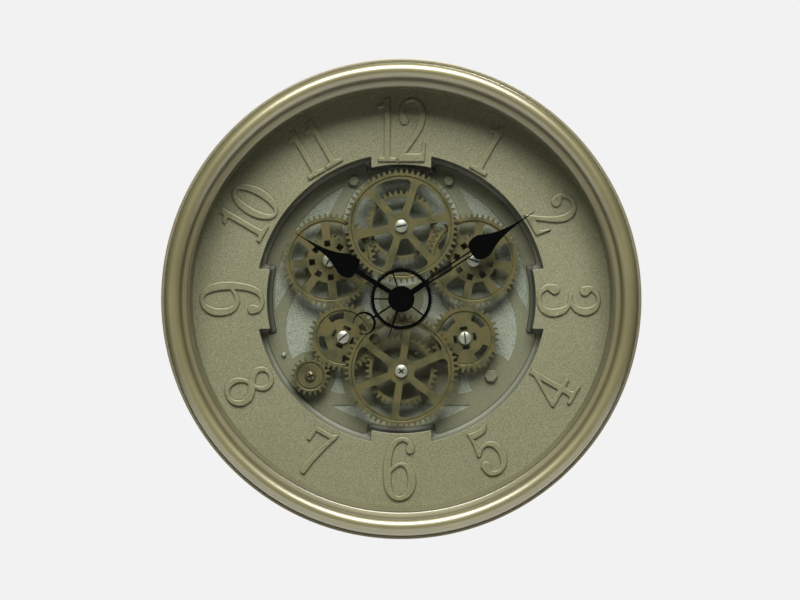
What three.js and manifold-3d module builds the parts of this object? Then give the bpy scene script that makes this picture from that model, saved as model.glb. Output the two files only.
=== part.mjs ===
// Gear wall clock: a round case, a raised dial ring, and an open gear train behind the hands.
// Sizes are in millimetres and angles in degrees.
// Every solid is drawn lying on its back: z is the height off the wall, and the viewer is up at +z.
// The finished pieces are then stood up, so that +Z is up and the dial faces -Y.

import * as THREE from "three";
import { mergeVertices } from "three/addons/utils/BufferGeometryUtils.js";
import Module from "manifold-3d";

const wasm = await Module();
wasm.setup();

// Clearances
const fit = 0.3;
const running = 0.4;

// Case and bezel
const caseRadius = 230;
const caseWall = 3;
const caseEdge = 1;
const caseLedge = 13;
const caseLedgeThickness = 3;
const caseRimSetback = 8;
const bezelRollWidth = 16.7;
const bezelBandWidth = 6.6;
const bezelBandSetback = 6;
const bezelBandDrop = 1.8;
const bezelBead = 0.7;
const bezelHem = 3;

// Glass and the wall behind it
const glassThickness = 3;
const glassOverlap = 5;
const glassSetback = 8.5;
const wallThickness = 3;
const wallFoot = 9.6;
const wallFootThickness = 2;

// Dial
const dialDepth = 38;
const dialThickness = 1.7;
const dialOverlap = 10.6;
const openingRadius = 141.8;
const tabRadius = 131.1;
const tabHalfWidth = 29.3;

// Pressed tray round the gear train
const trayClearance = 9;
const trayWall = 1.8;
const traySetback = 0.8;
const trayLean = 1.6;
const trayLedge = 4;
const trayLedgeHeight = 2.6;
const trayLedgeSlope = 0.8;
const trayLip = 0.4;

// Back cover
const coverThickness = 4;
const coverScrewCount = 3;
const coverScrewFirst = 150;
const coverScrewShank = 1.6;
const coverScrewHead = 3.4;
const coverScrewHeadHeight = 1.6;
const coverScrewLength = 8;
const bossRadius = 6.5;
const keyholeHeight = 188;
const keyholeEntry = 6;
const keyholeSlot = 3;
const keyholeTravel = 12;

// Plates behind the gears
const plateRadius = 150;
const plateThickness = 2;
const skeletonRim = 125;
const segmentFrom = 116.6;
const segmentTo = 185;
const bottomSegmentHeight = -104.7;
const topWindowRadius = 57.8;
const topWindowBand = 8;
const sideWindowRadius = 64.2;
const sideWindowX = 49.9;
const sideWindowY = -29.6;
const bottomLand = 60;
const hubLand = 22;
const postLand = 13;
const driveLand = 24.3;
const boltLand = 22.7;

// Gear train
const toothModule = 1.78;
const frontModule = 1.8;
const addendum = 0.95;
const dedendum = 1.2;
const toothTip = 0.7;
const toothRoot = 1.8;
const wideRoot = 3.2;
const gearThickness = 4;
const layerGap = 2;
const pinionGap = 2.2;
const webRecess = 0.8;
const webOverlap = 0.8;
const roundCorner = 3;
const frontTeeth = 60;
const carrierTeeth = 38;
const upperTeeth = 50;
const lowerTeeth = 36;
const driveTeeth = 20;
const rearPinionTeeth = 27;
const topGearHeight = 71.3;
const upperDirection = 25.25;
const lowerLeftLean = 10.4;
const lowerRightLean = 6.25;
const driveDirection = 229.7;
const sleeveWall = 4.1;

// Rims, spokes and windows of the gears
const frontRim = 49.9;
const frontWindowOuter = 46;
const frontWindowInner = 13;
const frontHalfSpoke = 3.6;
const frontWindowCorner = 5;
const frontSpokes = 6;
const topSpokeAngle = 12;
const bottomSpokeAngle = 21.7;
const carrierWindowOuter = 28.7;
const carrierWindowInner = 11;
const carrierHalfSpoke = 2.8;
const carrierWindowCorner = 2;
const upperRim = 39.9;
const upperWindowOuter = 37.3;
const upperWindowInner = 22;
const upperHalfSpoke = 5;
const upperWindowCorner = 2.5;
const upperWindows = 8;
const upperSquareRadius = 16.7;
const upperSquare = 5.9;
const upperLeftWindow = 29;
const upperLeftSquare = 6;
const upperRightWindow = 12;
const upperRightSquare = 33;
const pinionWindowOuter = 19.5;
const pinionWindowInner = 10.5;
const pinionHalfSpoke = 2.5;
const pinionWindowCorner = 1.5;
const pinionWindows = 4;
const lowerRim = 27;
const lowerWindowOuter = 24.5;
const lowerWindowInner = 18;
const lowerHalfSpoke = 9.2;
const lowerWindowCorner = 0.8;
const lowerWindows = 4;
const lowerSlotRadius = 9.5;
const lowerSlotWidth = 7.4;
const lowerSlotHeight = 3.3;
const lowerLeftWindow = 18;
const lowerLeftSlot = 65.5;
const lowerRightWindow = 51;
const lowerRightSlot = 8;
const driveRim = 14;

// Gear posts and screws
const spindleRadius = 3;
const collarRadius = 6;
const screwHeadRadius = 6.1;
const screwHeadHeight = 2.4;
const screwHeadRound = 0.8;
const screwShank = 1.3;
const screwLength = 7;
const slotWidth = 1.6;
const slotDepth = 1;
const driveScrewHead = 5.2;
const topSlotAngle = 12;
const bottomSlotAngle = 40;
const upperLeftSlotAngle = 60;
const upperRightSlotAngle = -20;
const lowerLeftSlotAngle = 40;
const lowerRightSlotAngle = 95;
const driveSlotAngle = 20;
const driveShaftBack = 10;

// Plate bolts and the small pin
const upperBoltX = 46.8;
const upperBoltY = 116.6;
const upperBoltRadius = 5.6;
const lowerBoltX = 88.5;
const lowerBoltY = -75.7;
const lowerBoltRadius = 6.7;
const boltShank = 2.5;
const boltHeadHeight = 3.6;
const boltHeadRound = 0.9;
const boltLength = 14;
const pinX = -115.9;
const pinY = -55;
const pinRadius = 2.6;
const pinShank = 1.2;

// Clock movement
const movementDepth = 17;
const movementSide = 56;
const movementCorner = 5;
const bushingRadius = 5;
const bushingClearOfDial = 3;
const nutRadius = 9;
const nutHeight = 4;
const pipeWall = 0.9;
const hourPipeRadius = 3.6;
const minutePipeRadius = 2.3;
const secondsArborRadius = 1;
const boreFloor = 3;
const arborTip = 0.8;

// Hands
const handThickness = 1.2;
const hourHandRise = 4;
const handGap = 1.4;
const hourHandLength = 122;
const hourHandAngle = 148;
const hourHubRadius = 10;
const hourShaftHalf = 2.4;
const hourNeck = 51.2;
const hourBulb = 61.3;
const hourBulbHalf = 11.65;
const minuteHandLength = 155;
const minuteHandAngle = 33.2;
const minuteHubRadius = 9;
const minuteShaftHalf = 2.7;
const minuteSlotFrom = 32;
const minuteSlotHalf = 1.2;
const minuteNeck = 81.5;
const minuteBulb = 92.7;
const minuteBulbHalf = 11.6;
const tipHalf = 0.4;
const leafShoulder = 10.7;
const leafWaist = 7.8;
const leafWaistHalf = 0.5;
const tailHalf = 0.9;
const crescentDistance = 42.8;
const crescentRadius = 11.3;
const crescentInner = 9.7;
const crescentOffset = 1.1;
const crescentGapFrom = 150;
const crescentGapTo = 210;
const secondsWheelRadius = 31;
const secondsWheelRoot = 29.2;
const secondsWheelRim = 26.9;
const secondsWheelTeeth = 80;
const secondsSpokes = 5;
const secondsSpokeAngle = 35.7;
const secondsSpokeHalf = 0.7;
const secondsPointerLength = 39.3;
const secondsPointerHalf = 1.8;
const secondsPointerTip = 0.4;
const secondsPointerSpoke = 3;
const secondsHubRadius = 12.8;

// Cells, hatches, drive and controls on the back
const cellRadius = 7.1;
const cellLength = 50;
const cellNub = 1.2;
const cellNubRadius = 2.7;
const cellClearance = 0.5;
const cellEndSpace = 2;
const clockCellY = -19;
const hatchThickness = 1.5;
const hatchLean = 1;
const hatchMargin = 4;
const hatchTravel = 30;
const driveHousingOffsetX = 3.2;
const driveHousingOffsetY = 11.4;
const driveHousingWidth = 62;
const driveHousingHeight = 76;
const driveCellsOffsetY = 29.4;
const knobY = 17;
const knobRadius = 8;
const knobThickness = 2.6;
const knobSink = 0.8;
const knobGroove = 0.7;
const knobStem = 2;
const knobStemLength = 8;
const knobRibs = 18;
const switchOffsetX = 23.2;
const switchOffsetY = -16.6;
const switchWidth = 5;
const switchLength = 6;
const switchTravel = 5;
const switchPocket = 3;

// Radii, built up from the case inward
const caseInner = caseRadius - caseWall;
const bezelOuter = caseInner - fit;
const bezelRollInner = bezelOuter - bezelRollWidth;
const bezelLipRadius = bezelRollInner - bezelBandWidth;
const dialRadius = bezelLipRadius + dialOverlap;
const trayRadius = caseInner - trayClearance;

// Heights off the wall, built up from the pieces that stand on each other
const coverFront = coverThickness;
const caseLedgeFront = coverFront + fit + caseLedgeThickness;
const movementBack = coverFront + fit;
const movementFront = movementBack + movementDepth;
const basePlateBack = movementFront + fit;
const basePlateFront = basePlateBack + plateThickness;
const skeletonBack = basePlateFront + fit;
const skeletonFront = skeletonBack + plateThickness;
const pinionBack = skeletonFront + pinionGap;
const pinionFront = pinionBack + gearThickness;
const meshBack = pinionFront + layerGap;
const meshFront = meshBack + gearThickness;
const frontGearBack = meshFront + layerGap;
const frontGearFront = frontGearBack + gearThickness;
const dialBack = frontGearFront + dialThickness;
const dialFront = dialBack + dialThickness;
const trayFront = dialBack - fit;
const trayBack = skeletonFront + fit;
const caseFront = dialFront + dialDepth;
const glassFront = caseFront - glassSetback;
const glassBack = glassFront - glassThickness;
const bushingFront = dialFront - bushingClearOfDial;
const hourHandBack = dialFront + hourHandRise;
const minuteHandBack = hourHandBack + handThickness + handGap;
const secondsWheelBack = minuteHandBack + handThickness + handGap;
const boreBack = movementBack + boreFloor;

const radians = THREE.MathUtils.degToRad;
const centre = new THREE.Vector2(0, 0);

// Larger circles get more flats, always a multiple of four.
function stepsFor(radius) {
  return 4 * Math.max(2, Math.ceil(0.2 + 0.7 * Math.sqrt(radius)));
}

function polar(radius, angle) {
  return new THREE.Vector2(radius * Math.cos(angle), radius * Math.sin(angle));
}

function arc(radius, from, to, steps) {
  const points = [];
  for (let i = 0; i <= steps; i += 1) {
    points.push(polar(radius, from + ((to - from) * i) / steps));
  }
  return points;
}

function circle(radius, at = centre) {
  return arc(radius, 0, 2 * Math.PI, stepsFor(radius)).slice(1).map((point) => point.add(at));
}

function extrude(outline, holes, back, front) {
  const shape = new THREE.Shape(outline);
  for (const hole of holes) {
    shape.holes.push(new THREE.Path(hole));
  }
  const solid = new THREE.ExtrudeGeometry(shape, { depth: front - back, bevelEnabled: false });
  return solid.translate(0, 0, back);
}

function disc(radius, back, front, at = centre) {
  return extrude(circle(radius, at), [], back, front);
}

function roundedRectangle(width, height, corner, at) {
  const points = [];
  for (let i = 0; i < 4; i += 1) {
    const from = (i * Math.PI) / 2;
    const side = polar(Math.SQRT2, from + Math.PI / 4);
    const middle = new THREE.Vector2(side.x * (width / 2 - corner), side.y * (height / 2 - corner)).add(at);
    const turn = corner > 0 ? arc(corner, from, from + Math.PI / 2, 3) : [new THREE.Vector2(0, 0)];
    points.push(...turn.map((point) => point.add(middle)));
  }
  return points;
}

function block(width, height, back, front, at) {
  return extrude(roundedRectangle(width, height, 0, at), [], back, front);
}

// A turned solid from corners given as [radius, height off the wall].
function turned(corners, at = centre) {
  const points = corners.map(([radius, height]) => new THREE.Vector2(radius, height));
  if (THREE.ShapeUtils.area(points) < 0) {
    points.reverse();
  }
  if (points[0].x > 0) {
    points.push(points[0].clone());
  }
  const widest = Math.max(...points.map((point) => point.x));
  return new THREE.LatheGeometry(points, stepsFor(widest)).rotateX(Math.PI / 2).translate(at.x, at.y, 0);
}

function manifoldOf(geometry) {
  const bare = new THREE.BufferGeometry();
  bare.setAttribute("position", geometry.getAttribute("position"));
  bare.setIndex(geometry.getIndex());
  const merged = mergeVertices(bare, 1e-4);
  const index = merged.getIndex().array;
  const triangles = [];
  for (let i = 0; i < index.length; i += 3) {
    const [a, b, c] = [index[i], index[i + 1], index[i + 2]];
    if (a !== b && b !== c && c !== a) {
      triangles.push(a, b, c);
    }
  }
  const mesh = new wasm.Mesh({
    numProp: 3,
    vertProperties: new Float32Array(merged.getAttribute("position").array),
    triVerts: new Uint32Array(triangles),
  });
  return new wasm.Manifold(mesh);
}

function geometryOf(manifold) {
  const mesh = manifold.getMesh();
  const geometry = new THREE.BufferGeometry();
  geometry.setAttribute("position", new THREE.BufferAttribute(mesh.vertProperties, 3));
  geometry.setIndex(new THREE.BufferAttribute(mesh.triVerts, 1));
  return geometry;
}

function join(...geometries) {
  return geometryOf(geometries.map(manifoldOf).reduce((whole, next) => whole.add(next)));
}

function cut(base, ...cutters) {
  return geometryOf(cutters.map(manifoldOf).reduce((rest, next) => rest.subtract(next), manifoldOf(base)));
}

// A closed skin through loops that all have the same number of points.
function loftRing(loops) {
  const count = loops[0].length;
  const positions = loops.flatMap((loop) => loop.flatMap((point) => [point.x, point.y, point.z]));
  const index = [];
  for (let i = 0; i < loops.length; i += 1) {
    const here = i * count;
    const there = ((i + 1) % loops.length) * count;
    for (let j = 0; j < count; j += 1) {
      const k = (j + 1) % count;
      index.push(here + j, here + k, there + k);
      index.push(here + j, there + k, there + j);
    }
  }
  const geometry = new THREE.BufferGeometry();
  geometry.setAttribute("position", new THREE.Float32BufferAttribute(positions, 3));
  geometry.setIndex(index);
  return geometry;
}

// The dial's opening: a circle with four tabs that reach inward, drawn smaller by the inset.
function notchedOutline(inset) {
  const opening = openingRadius - inset;
  const tab = tabRadius - inset;
  const half = tabHalfWidth + inset;
  const tabEnd = Math.asin(half / tab);
  const openEnd = Math.asin(half / opening);
  const points = [];
  for (let i = 0; i < 4; i += 1) {
    const middle = (i * Math.PI) / 2;
    points.push(...arc(tab, middle - tabEnd, middle + tabEnd, 3));
    points.push(...arc(opening, middle + openEnd, middle + Math.PI / 2 - openEnd, 6));
  }
  return points;
}

// Gear teeth with straight flanks; the first tooth is centred on the given angle.
// Teeth as wide at the root as the pitch share one point at the foot of each gap.
function toothOutline(teeth, module, firstTooth, rootWidth) {
  const tip = (module * teeth) / 2 + addendum * module;
  const root = (module * teeth) / 2 - dedendum * module;
  const tipHalf = (toothTip * module) / 2 / tip;
  const halfPitch = Math.PI / teeth;
  const rootHalf = Math.min((rootWidth * module) / 2 / root, halfPitch);
  const points = [];
  for (let i = 0; i < teeth; i += 1) {
    const middle = radians(firstTooth) + 2 * halfPitch * i;
    points.push(polar(root, middle - rootHalf));
    points.push(polar(tip, middle - tipHalf));
    points.push(polar(tip, middle + tipHalf));
    if (rootHalf < halfPitch) {
      points.push(polar(root, middle + rootHalf));
    }
  }
  return points;
}

// A window with rounded corners between two spokes, whose sides run parallel to the spokes.
function spokeWindow(inner, outer, from, to, halfSpoke, corner) {
  const cornerSteps = corner > roundCorner ? 2 : 1;
  const beside = (radius, spoke, side) => spoke + side * Math.asin(halfSpoke / radius);
  const path = new THREE.Path();
  const line = (radius, angle) => path.lineTo(...polar(radius, angle));
  const turn = (radius, angle, nextRadius, nextAngle) => (
    path.quadraticCurveTo(...polar(radius, angle), ...polar(nextRadius, nextAngle))
  );
  const [outerFrom, outerTo] = [beside(outer, from, 1), beside(outer, to, -1)];
  const [innerFrom, innerTo] = [beside(inner, from, 1), beside(inner, to, -1)];
  const outerPull = corner / outer;
  const innerPull = Math.min(corner / inner, (innerTo - innerFrom) * 0.4);
  const rim = arc(outer, outerFrom + outerPull, outerTo - outerPull, 2);
  path.moveTo(...rim[0]);
  rim.slice(1).forEach((point) => path.lineTo(...point));
  turn(outer, outerTo, outer - corner, beside(outer - corner, to, -1));
  line(inner + corner, beside(inner + corner, to, -1));
  turn(inner, innerTo, inner, innerTo - innerPull);
  line(inner, innerFrom + innerPull);
  turn(inner, innerFrom, inner + corner, beside(inner + corner, from, 1));
  line(outer - corner, beside(outer - corner, from, 1));
  turn(outer, outerFrom, outer, outerFrom + outerPull);
  return path.getPoints(cornerSteps).slice(0, -1);
}

function spokeWindows(count, firstWindow, inner, outer, halfSpoke, corner) {
  const half = Math.PI / count;
  const windows = [];
  for (let i = 0; i < count; i += 1) {
    const middle = radians(firstWindow) + 2 * half * i;
    windows.push(spokeWindow(inner, outer, middle - half, middle + half, halfSpoke, corner));
  }
  return windows;
}

function slotRing(count, first, radius, across, along) {
  const slots = [];
  for (let i = 0; i < count; i += 1) {
    const angle = radians(first + (360 * i) / count);
    const corners = roundedRectangle(across, along, 0, new THREE.Vector2(radius, 0));
    slots.push(corners.map((point) => point.rotateAround(centre, angle)));
  }
  return slots;
}

// The gear train: every gear stands at its pitch distance from its neighbour, and in phase with it.
function pitchRadius(teeth) {
  return (toothModule * teeth) / 2;
}

function meshedTooth(teeth, tooth, towardOther, otherTeeth) {
  const past = ((tooth - towardOther) * teeth) / 360;
  return towardOther + 180 + ((0.5 - past) * 360) / otherTeeth;
}

function meshedWith(other, direction, teeth) {
  const place = polar(pitchRadius(other.teeth + teeth), radians(direction)).add(other.place);
  return { place, teeth, tooth: meshedTooth(other.teeth, other.tooth, direction, teeth) };
}

// The direction from a gear to one of the given teeth whose centre stands below it on the middle line.
function towardMiddle(wheel, teeth) {
  return -THREE.MathUtils.radToDeg(Math.acos(-wheel.place.x / pitchRadius(wheel.teeth + teeth)));
}

const topWheel = { place: new THREE.Vector2(0, topGearHeight), teeth: carrierTeeth, tooth: 90 };
const upperLeft = meshedWith(topWheel, 180 + upperDirection, upperTeeth);
const upperRight = meshedWith(topWheel, -upperDirection, upperTeeth);
const lowerLeft = meshedWith(upperLeft, 270 + lowerLeftLean, lowerTeeth);
const lowerRight = meshedWith(upperRight, 270 - lowerRightLean, lowerTeeth);
const bottomWheel = meshedWith(lowerLeft, towardMiddle(lowerLeft, carrierTeeth), carrierTeeth);
const driveWheel = meshedWith(lowerLeft, driveDirection, driveTeeth);
const wheelsOnPosts = [topWheel, bottomWheel, upperLeft, upperRight, lowerLeft, lowerRight];
const postPlaces = wheelsOnPosts.map((wheel) => wheel.place);
const upperLeftBolt = new THREE.Vector2(-upperBoltX, upperBoltY);
const upperRightBolt = new THREE.Vector2(upperBoltX, upperBoltY);
const lowerRightBolt = new THREE.Vector2(lowerBoltX, lowerBoltY);
const boltPlaces = [upperLeftBolt, upperRightBolt, lowerRightBolt];
const pinPlace = new THREE.Vector2(pinX, pinY);
const knobPlace = new THREE.Vector2(0, knobY);
const switchPlace = new THREE.Vector2(switchOffsetX, switchOffsetY).add(driveWheel.place);
const driveHousingPlace = new THREE.Vector2(driveHousingOffsetX, driveHousingOffsetY).add(driveWheel.place);
const driveCellsPlace = new THREE.Vector2(driveHousingOffsetX, driveCellsOffsetY).add(driveWheel.place);

function mirrored(point) {
  return new THREE.Vector2(-point.x, point.y);
}

function coverScrewPlaces() {
  const radius = caseInner - caseLedge / 2;
  return Array.from({ length: coverScrewCount }, (_, i) => (
    polar(radius, radians(coverScrewFirst + (360 * i) / coverScrewCount))
  ));
}

function caseDrum() {
  const inner = caseInner;
  const front = caseFront - caseRimSetback;
  const drum = turned([
    [inner, 0], [caseRadius, 0],
    [caseRadius, front - caseEdge], [caseRadius - caseEdge, front], [inner, front],
    [inner, caseLedgeFront], [inner - caseLedge, caseLedgeFront],
    [inner - caseLedge, coverFront + fit], [inner, coverFront + fit],
  ]);
  const holes = coverScrewPlaces().map((place) => disc(coverScrewShank + fit, 0, caseLedgeFront + 1, place));
  return cut(drum, ...holes);
}

function bezel() {
  const outer = bezelOuter;
  const rollRadius = bezelRollWidth / 2;
  const rollHeight = caseFront - rollRadius;
  const bandFront = caseFront - bezelBandSetback;
  const bandBack = bandFront - bezelBandDrop;
  const meet = Math.PI - Math.asin((bandFront - rollHeight) / rollRadius);
  const rollMiddle = outer - rollRadius;
  const roll = arc(rollRadius, 0, meet, 6).map((point) => [point.x + rollMiddle, point.y + rollHeight]);
  const seat = glassFront + fit;
  const pocket = bezelLipRadius + glassOverlap + fit;
  const hem = glassBack - bezelHem;
  return turned([
    [outer, rollHeight - bezelHem], ...roll,
    [bezelLipRadius + 2 * bezelBead, bandBack], [bezelLipRadius + bezelBead, bandBack + bezelBead],
    [bezelLipRadius, bandBack], [bezelLipRadius, seat], [pocket, seat],
    [pocket, hem], [pocket + bezelHem, hem],
  ]);
}

function glassLens() {
  return disc(bezelLipRadius + glassOverlap, glassBack, glassFront);
}

function innerWallRing() {
  const foot = dialFront + fit;
  const top = glassBack - fit;
  const outer = bezelLipRadius + wallThickness;
  return turned([
    [bezelLipRadius, foot], [bezelLipRadius + wallFoot, foot],
    [bezelLipRadius + wallFoot, foot + wallFootThickness], [outer, foot + wallFootThickness],
    [outer, top], [bezelLipRadius, top],
  ]);
}

function dialRing() {
  return extrude(circle(dialRadius), [notchedOutline(0)], dialBack, dialFront);
}

function mechanismTray() {
  const ledgeTop = trayBack + trayLedgeHeight;
  const foot = caseLedgeFront + fit;
  const round = (radius, height) => notchedOutline(0).map((point) => {
    const spot = point.setLength(radius);
    return new THREE.Vector3(spot.x, spot.y, height);
  });
  const notched = (inset, height) => (
    notchedOutline(inset).map((point) => new THREE.Vector3(point.x, point.y, height))
  );
  return loftRing([
    round(trayRadius, foot),
    round(trayRadius, trayFront),
    notched(-traySetback, trayFront),
    notched(trayLean, ledgeTop),
    notched(trayLedge, ledgeTop - trayLedgeSlope),
    notched(trayLedge + trayLip, trayBack),
    notched(trayLean - trayWall, trayBack),
    notched(-traySetback - trayWall, trayFront - trayWall),
    round(trayRadius - trayWall, trayFront - trayWall),
    round(trayRadius - trayWall, foot),
  ]);
}

function basePlate() {
  const holes = postPlaces.map((place) => circle(spindleRadius + fit, place));
  holes.push(circle(spindleRadius + running, driveWheel.place));
  holes.push(circle(bushingRadius + fit));
  holes.push(circle(pinShank + fit, pinPlace));
  holes.push(...boltPlaces.map((place) => circle(boltShank + fit, place)));
  return extrude(circle(plateRadius), holes, basePlateBack, basePlateFront);
}

// A side window is a round opening, less the lands that carry the gears, the hub and a corner.
function sideWindow(side, upperPlace, lowerPlace, cornerLand, cornerPlace) {
  const [back, front] = [skeletonBack - 1, skeletonFront + 1];
  const land = (radius, point) => disc(radius, back - 1, front + 1, point);
  return cut(
    disc(sideWindowRadius, back, front, new THREE.Vector2(side * sideWindowX, sideWindowY)),
    land(topWindowRadius + topWindowBand, topWheel.place),
    land(bottomLand, bottomWheel.place),
    land(hubLand, centre),
    land(postLand, upperPlace),
    land(postLand, lowerPlace),
    land(cornerLand, cornerPlace),
  );
}

function skeletonPlate() {
  const segment = arc(skeletonRim, radians(segmentFrom), radians(segmentTo), 12);
  const lowerEnd = Math.asin(-bottomSegmentHeight / skeletonRim);
  const bottomSegment = arc(skeletonRim, Math.PI + lowerEnd, 2 * Math.PI - lowerEnd, 10);
  const holes = postPlaces.slice(1).map((place) => circle(collarRadius + fit, place));
  holes.push(circle(topWindowRadius, topWheel.place));
  holes.push(circle(spindleRadius + running, driveWheel.place));
  holes.push(circle(bushingRadius + fit));
  holes.push(circle(pinShank + fit, pinPlace));
  holes.push(...boltPlaces.map((place) => circle(boltShank + fit, place)));
  holes.push(segment, segment.map(mirrored), bottomSegment);
  const plate = extrude(circle(plateRadius), holes, skeletonBack, skeletonFront);
  const left = sideWindow(-1, upperLeft.place, lowerLeft.place, driveLand, driveWheel.place);
  const right = sideWindow(1, upperRight.place, lowerRight.place, boltLand, lowerRightBolt);
  return cut(plate, left, right);
}

function keyhole() {
  const slotMiddle = new THREE.Vector2(0, keyholeHeight + keyholeTravel / 2);
  const slot = roundedRectangle(2 * keyholeSlot, keyholeTravel + 2 * keyholeSlot, keyholeSlot, slotMiddle);
  const entry = new THREE.Vector2(0, keyholeHeight);
  return join(disc(keyholeEntry, -1, coverFront + 1, entry), extrude(slot, [], -1, coverFront + 1));
}

function backCover() {
  const base = disc(caseInner - fit, 0, coverFront);
  const bosses = boltPlaces.map((place) => disc(bossRadius, 1, basePlateBack - fit, place));
  const boltHoles = boltPlaces.map((place) => (
    disc(boltShank + fit, skeletonFront - boltLength - 1, skeletonFront, place)
  ));
  const screwHoles = coverScrewPlaces().flatMap((place) => [
    disc(coverScrewShank + fit, -1, coverFront + 1, place),
    disc(coverScrewHead + fit, -1, coverScrewHeadHeight + 2 * fit, place),
  ]);
  return cut(
    join(base, ...bosses),
    ...boltHoles,
    ...screwHoles,
    keyhole(),
    disc(knobRadius + 2 * fit, -1, coverFront + 1, knobPlace),
    hatchRecess(clockHatch),
    hatchRecess(driveHatch),
    hatchOpening(clockHatch),
    hatchOpening(driveHatch),
    block(switchLength + switchTravel + 2 * fit, switchWidth + 2 * fit, -1, coverFront + 1, switchMiddle),
  );
}

// The hatches slide along X in dovetail recesses in the back of the cover.
const clockHatch = {
  place: new THREE.Vector2(0, clockCellY),
  width: cellLength + 2 * cellEndSpace + 2 * hatchMargin,
  height: 2 * (cellRadius + cellClearance) + 2 * hatchMargin,
  travel: hatchTravel,
};
const driveHatch = {
  place: driveCellsPlace,
  width: cellLength + 2 * cellEndSpace + 2 * hatchMargin,
  height: 4 * (cellRadius + cellClearance) + 2 * hatchMargin,
  travel: -hatchTravel,
};
const switchMiddle = new THREE.Vector2(switchTravel / 2, 0).add(switchPlace);

// A bar along X that widens from its open face toward its depth.
function dovetail(width, height, back, depth, place) {
  const slope = hatchLean / hatchThickness;
  const half = height / 2;
  const outline = [
    new THREE.Vector2(-half - depth * slope, depth), new THREE.Vector2(-half - back * slope, back),
    new THREE.Vector2(half + back * slope, back), new THREE.Vector2(half + depth * slope, depth),
  ];
  const bar = new THREE.ExtrudeGeometry(new THREE.Shape(outline), { depth: width, bevelEnabled: false });
  return bar.rotateX(Math.PI / 2).rotateZ(Math.PI / 2).translate(place.x - width / 2, place.y, 0);
}

function hatchRecess(hatch) {
  const width = hatch.width + Math.abs(hatch.travel) + 2 * fit;
  const middle = new THREE.Vector2(hatch.place.x + hatch.travel / 2, hatch.place.y);
  return dovetail(width, hatch.height + 2 * fit, -1, hatchThickness + fit, middle);
}

function hatchOpening(hatch) {
  const [width, height] = [hatch.width - 2 * hatchMargin, hatch.height - 2 * hatchMargin];
  return block(width, height, 0, coverFront + 1, hatch.place);
}

function hatchDoor(hatch) {
  return dovetail(hatch.width, hatch.height, 0, hatchThickness, hatch.place);
}

function cellHeight() {
  return movementBack + cellClearance + cellRadius;
}

function cellBay(place, rows) {
  const height = 2 * rows * (cellRadius + cellClearance);
  const front = cellHeight() + cellRadius + cellClearance;
  return block(cellLength + 2 * cellEndSpace, height, movementBack - 1, front, place);
}

function cell(place) {
  const body = turned([
    [0, 0], [cellRadius, 0], [cellRadius, cellLength - cellNub],
    [cellNubRadius, cellLength - cellNub], [cellNubRadius, cellLength], [0, cellLength],
  ]);
  return body.rotateY(Math.PI / 2).translate(place.x - cellLength / 2, place.y, cellHeight());
}

function clockMovement() {
  const body = extrude(
    roundedRectangle(movementSide, movementSide, movementCorner, centre), [], movementBack, movementFront,
  );
  const bushing = disc(bushingRadius, movementFront - 1, bushingFront);
  return cut(
    join(body, bushing),
    disc(hourPipeRadius + running, boreBack, bushingFront + 1),
    cellBay(clockHatch.place, 1),
    disc(knobStem + running, movementBack - 1, knobSink + knobThickness + knobStemLength + 1, knobPlace),
  );
}

function driveHousing() {
  const body = extrude(
    roundedRectangle(driveHousingWidth, driveHousingHeight, movementCorner, driveHousingPlace), [],
    movementBack, movementFront,
  );
  return cut(
    body,
    disc(spindleRadius + running, driveShaftBack - 1, movementFront + 1, driveWheel.place),
    cellBay(driveHatch.place, 2),
    block(
      switchLength + switchTravel + 2 * fit, switchWidth + 2 * fit,
      0, movementBack + switchPocket, switchMiddle,
    ),
  );
}

function bushingNut() {
  const outline = arc(nutRadius, 0, 2 * Math.PI, 6).slice(1);
  const back = skeletonFront + fit;
  return extrude(outline, [circle(bushingRadius + fit)], back, back + nutHeight);
}

function settingKnob() {
  const outline = [];
  for (let i = 0; i < 2 * knobRibs; i += 1) {
    outline.push(polar(knobRadius - (i % 2) * knobGroove, (Math.PI * i) / knobRibs).add(knobPlace));
  }
  const front = knobSink + knobThickness;
  const stem = disc(knobStem, front - 1, front + knobStemLength, knobPlace);
  return join(extrude(outline, [], knobSink, front), stem);
}

function driveSwitch() {
  return block(switchLength, switchWidth, knobSink, movementBack + switchPocket - fit, switchPlace);
}

function pipe(radius, back, front) {
  return turned([[radius, back], [radius, front], [radius - pipeWall, front], [radius - pipeWall, back]]);
}

// A spindle that stands on the base plate, with a collar under the gear and a screw hole in its end.
function gearPost(place, gearBack, gearFront) {
  const end = gearFront + fit;
  const hole = screwShank + fit;
  return turned([
    [0, basePlateBack], [spindleRadius, basePlateBack], [spindleRadius, basePlateFront + fit],
    [collarRadius, basePlateFront + fit], [collarRadius, gearBack - fit],
    [spindleRadius, gearBack - fit], [spindleRadius, end],
    [hole, end], [hole, end - screwLength - fit], [0, end - screwLength - fit],
  ], place);
}

function driveShaft() {
  const end = meshFront + fit;
  const hole = screwShank + fit;
  return turned([
    [0, driveShaftBack], [spindleRadius, driveShaftBack], [spindleRadius, end],
    [hole, end], [hole, end - screwLength - fit], [0, end - screwLength - fit],
  ], driveWheel.place);
}

function screwBlank(place, seat, headRadius) {
  return turned([
    [0, seat - screwLength], [screwShank, seat - screwLength], [screwShank, seat],
    [headRadius, seat], [headRadius, seat + screwHeadHeight - screwHeadRound],
    [headRadius - screwHeadRound, seat + screwHeadHeight], [0, seat + screwHeadHeight],
  ], place);
}

function driverSlot(place, front, length, angle) {
  const slot = block(length, slotWidth, front - slotDepth, front + 1, centre);
  return slot.rotateZ(radians(angle)).translate(place.x, place.y, 0);
}

function slottedScrew(place, gearFront, slotAngle) {
  const seat = gearFront + 2 * fit;
  const front = seat + screwHeadHeight;
  const slot = driverSlot(place, front, 3 * screwHeadRadius, slotAngle);
  return cut(screwBlank(place, seat, screwHeadRadius), slot);
}

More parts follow.
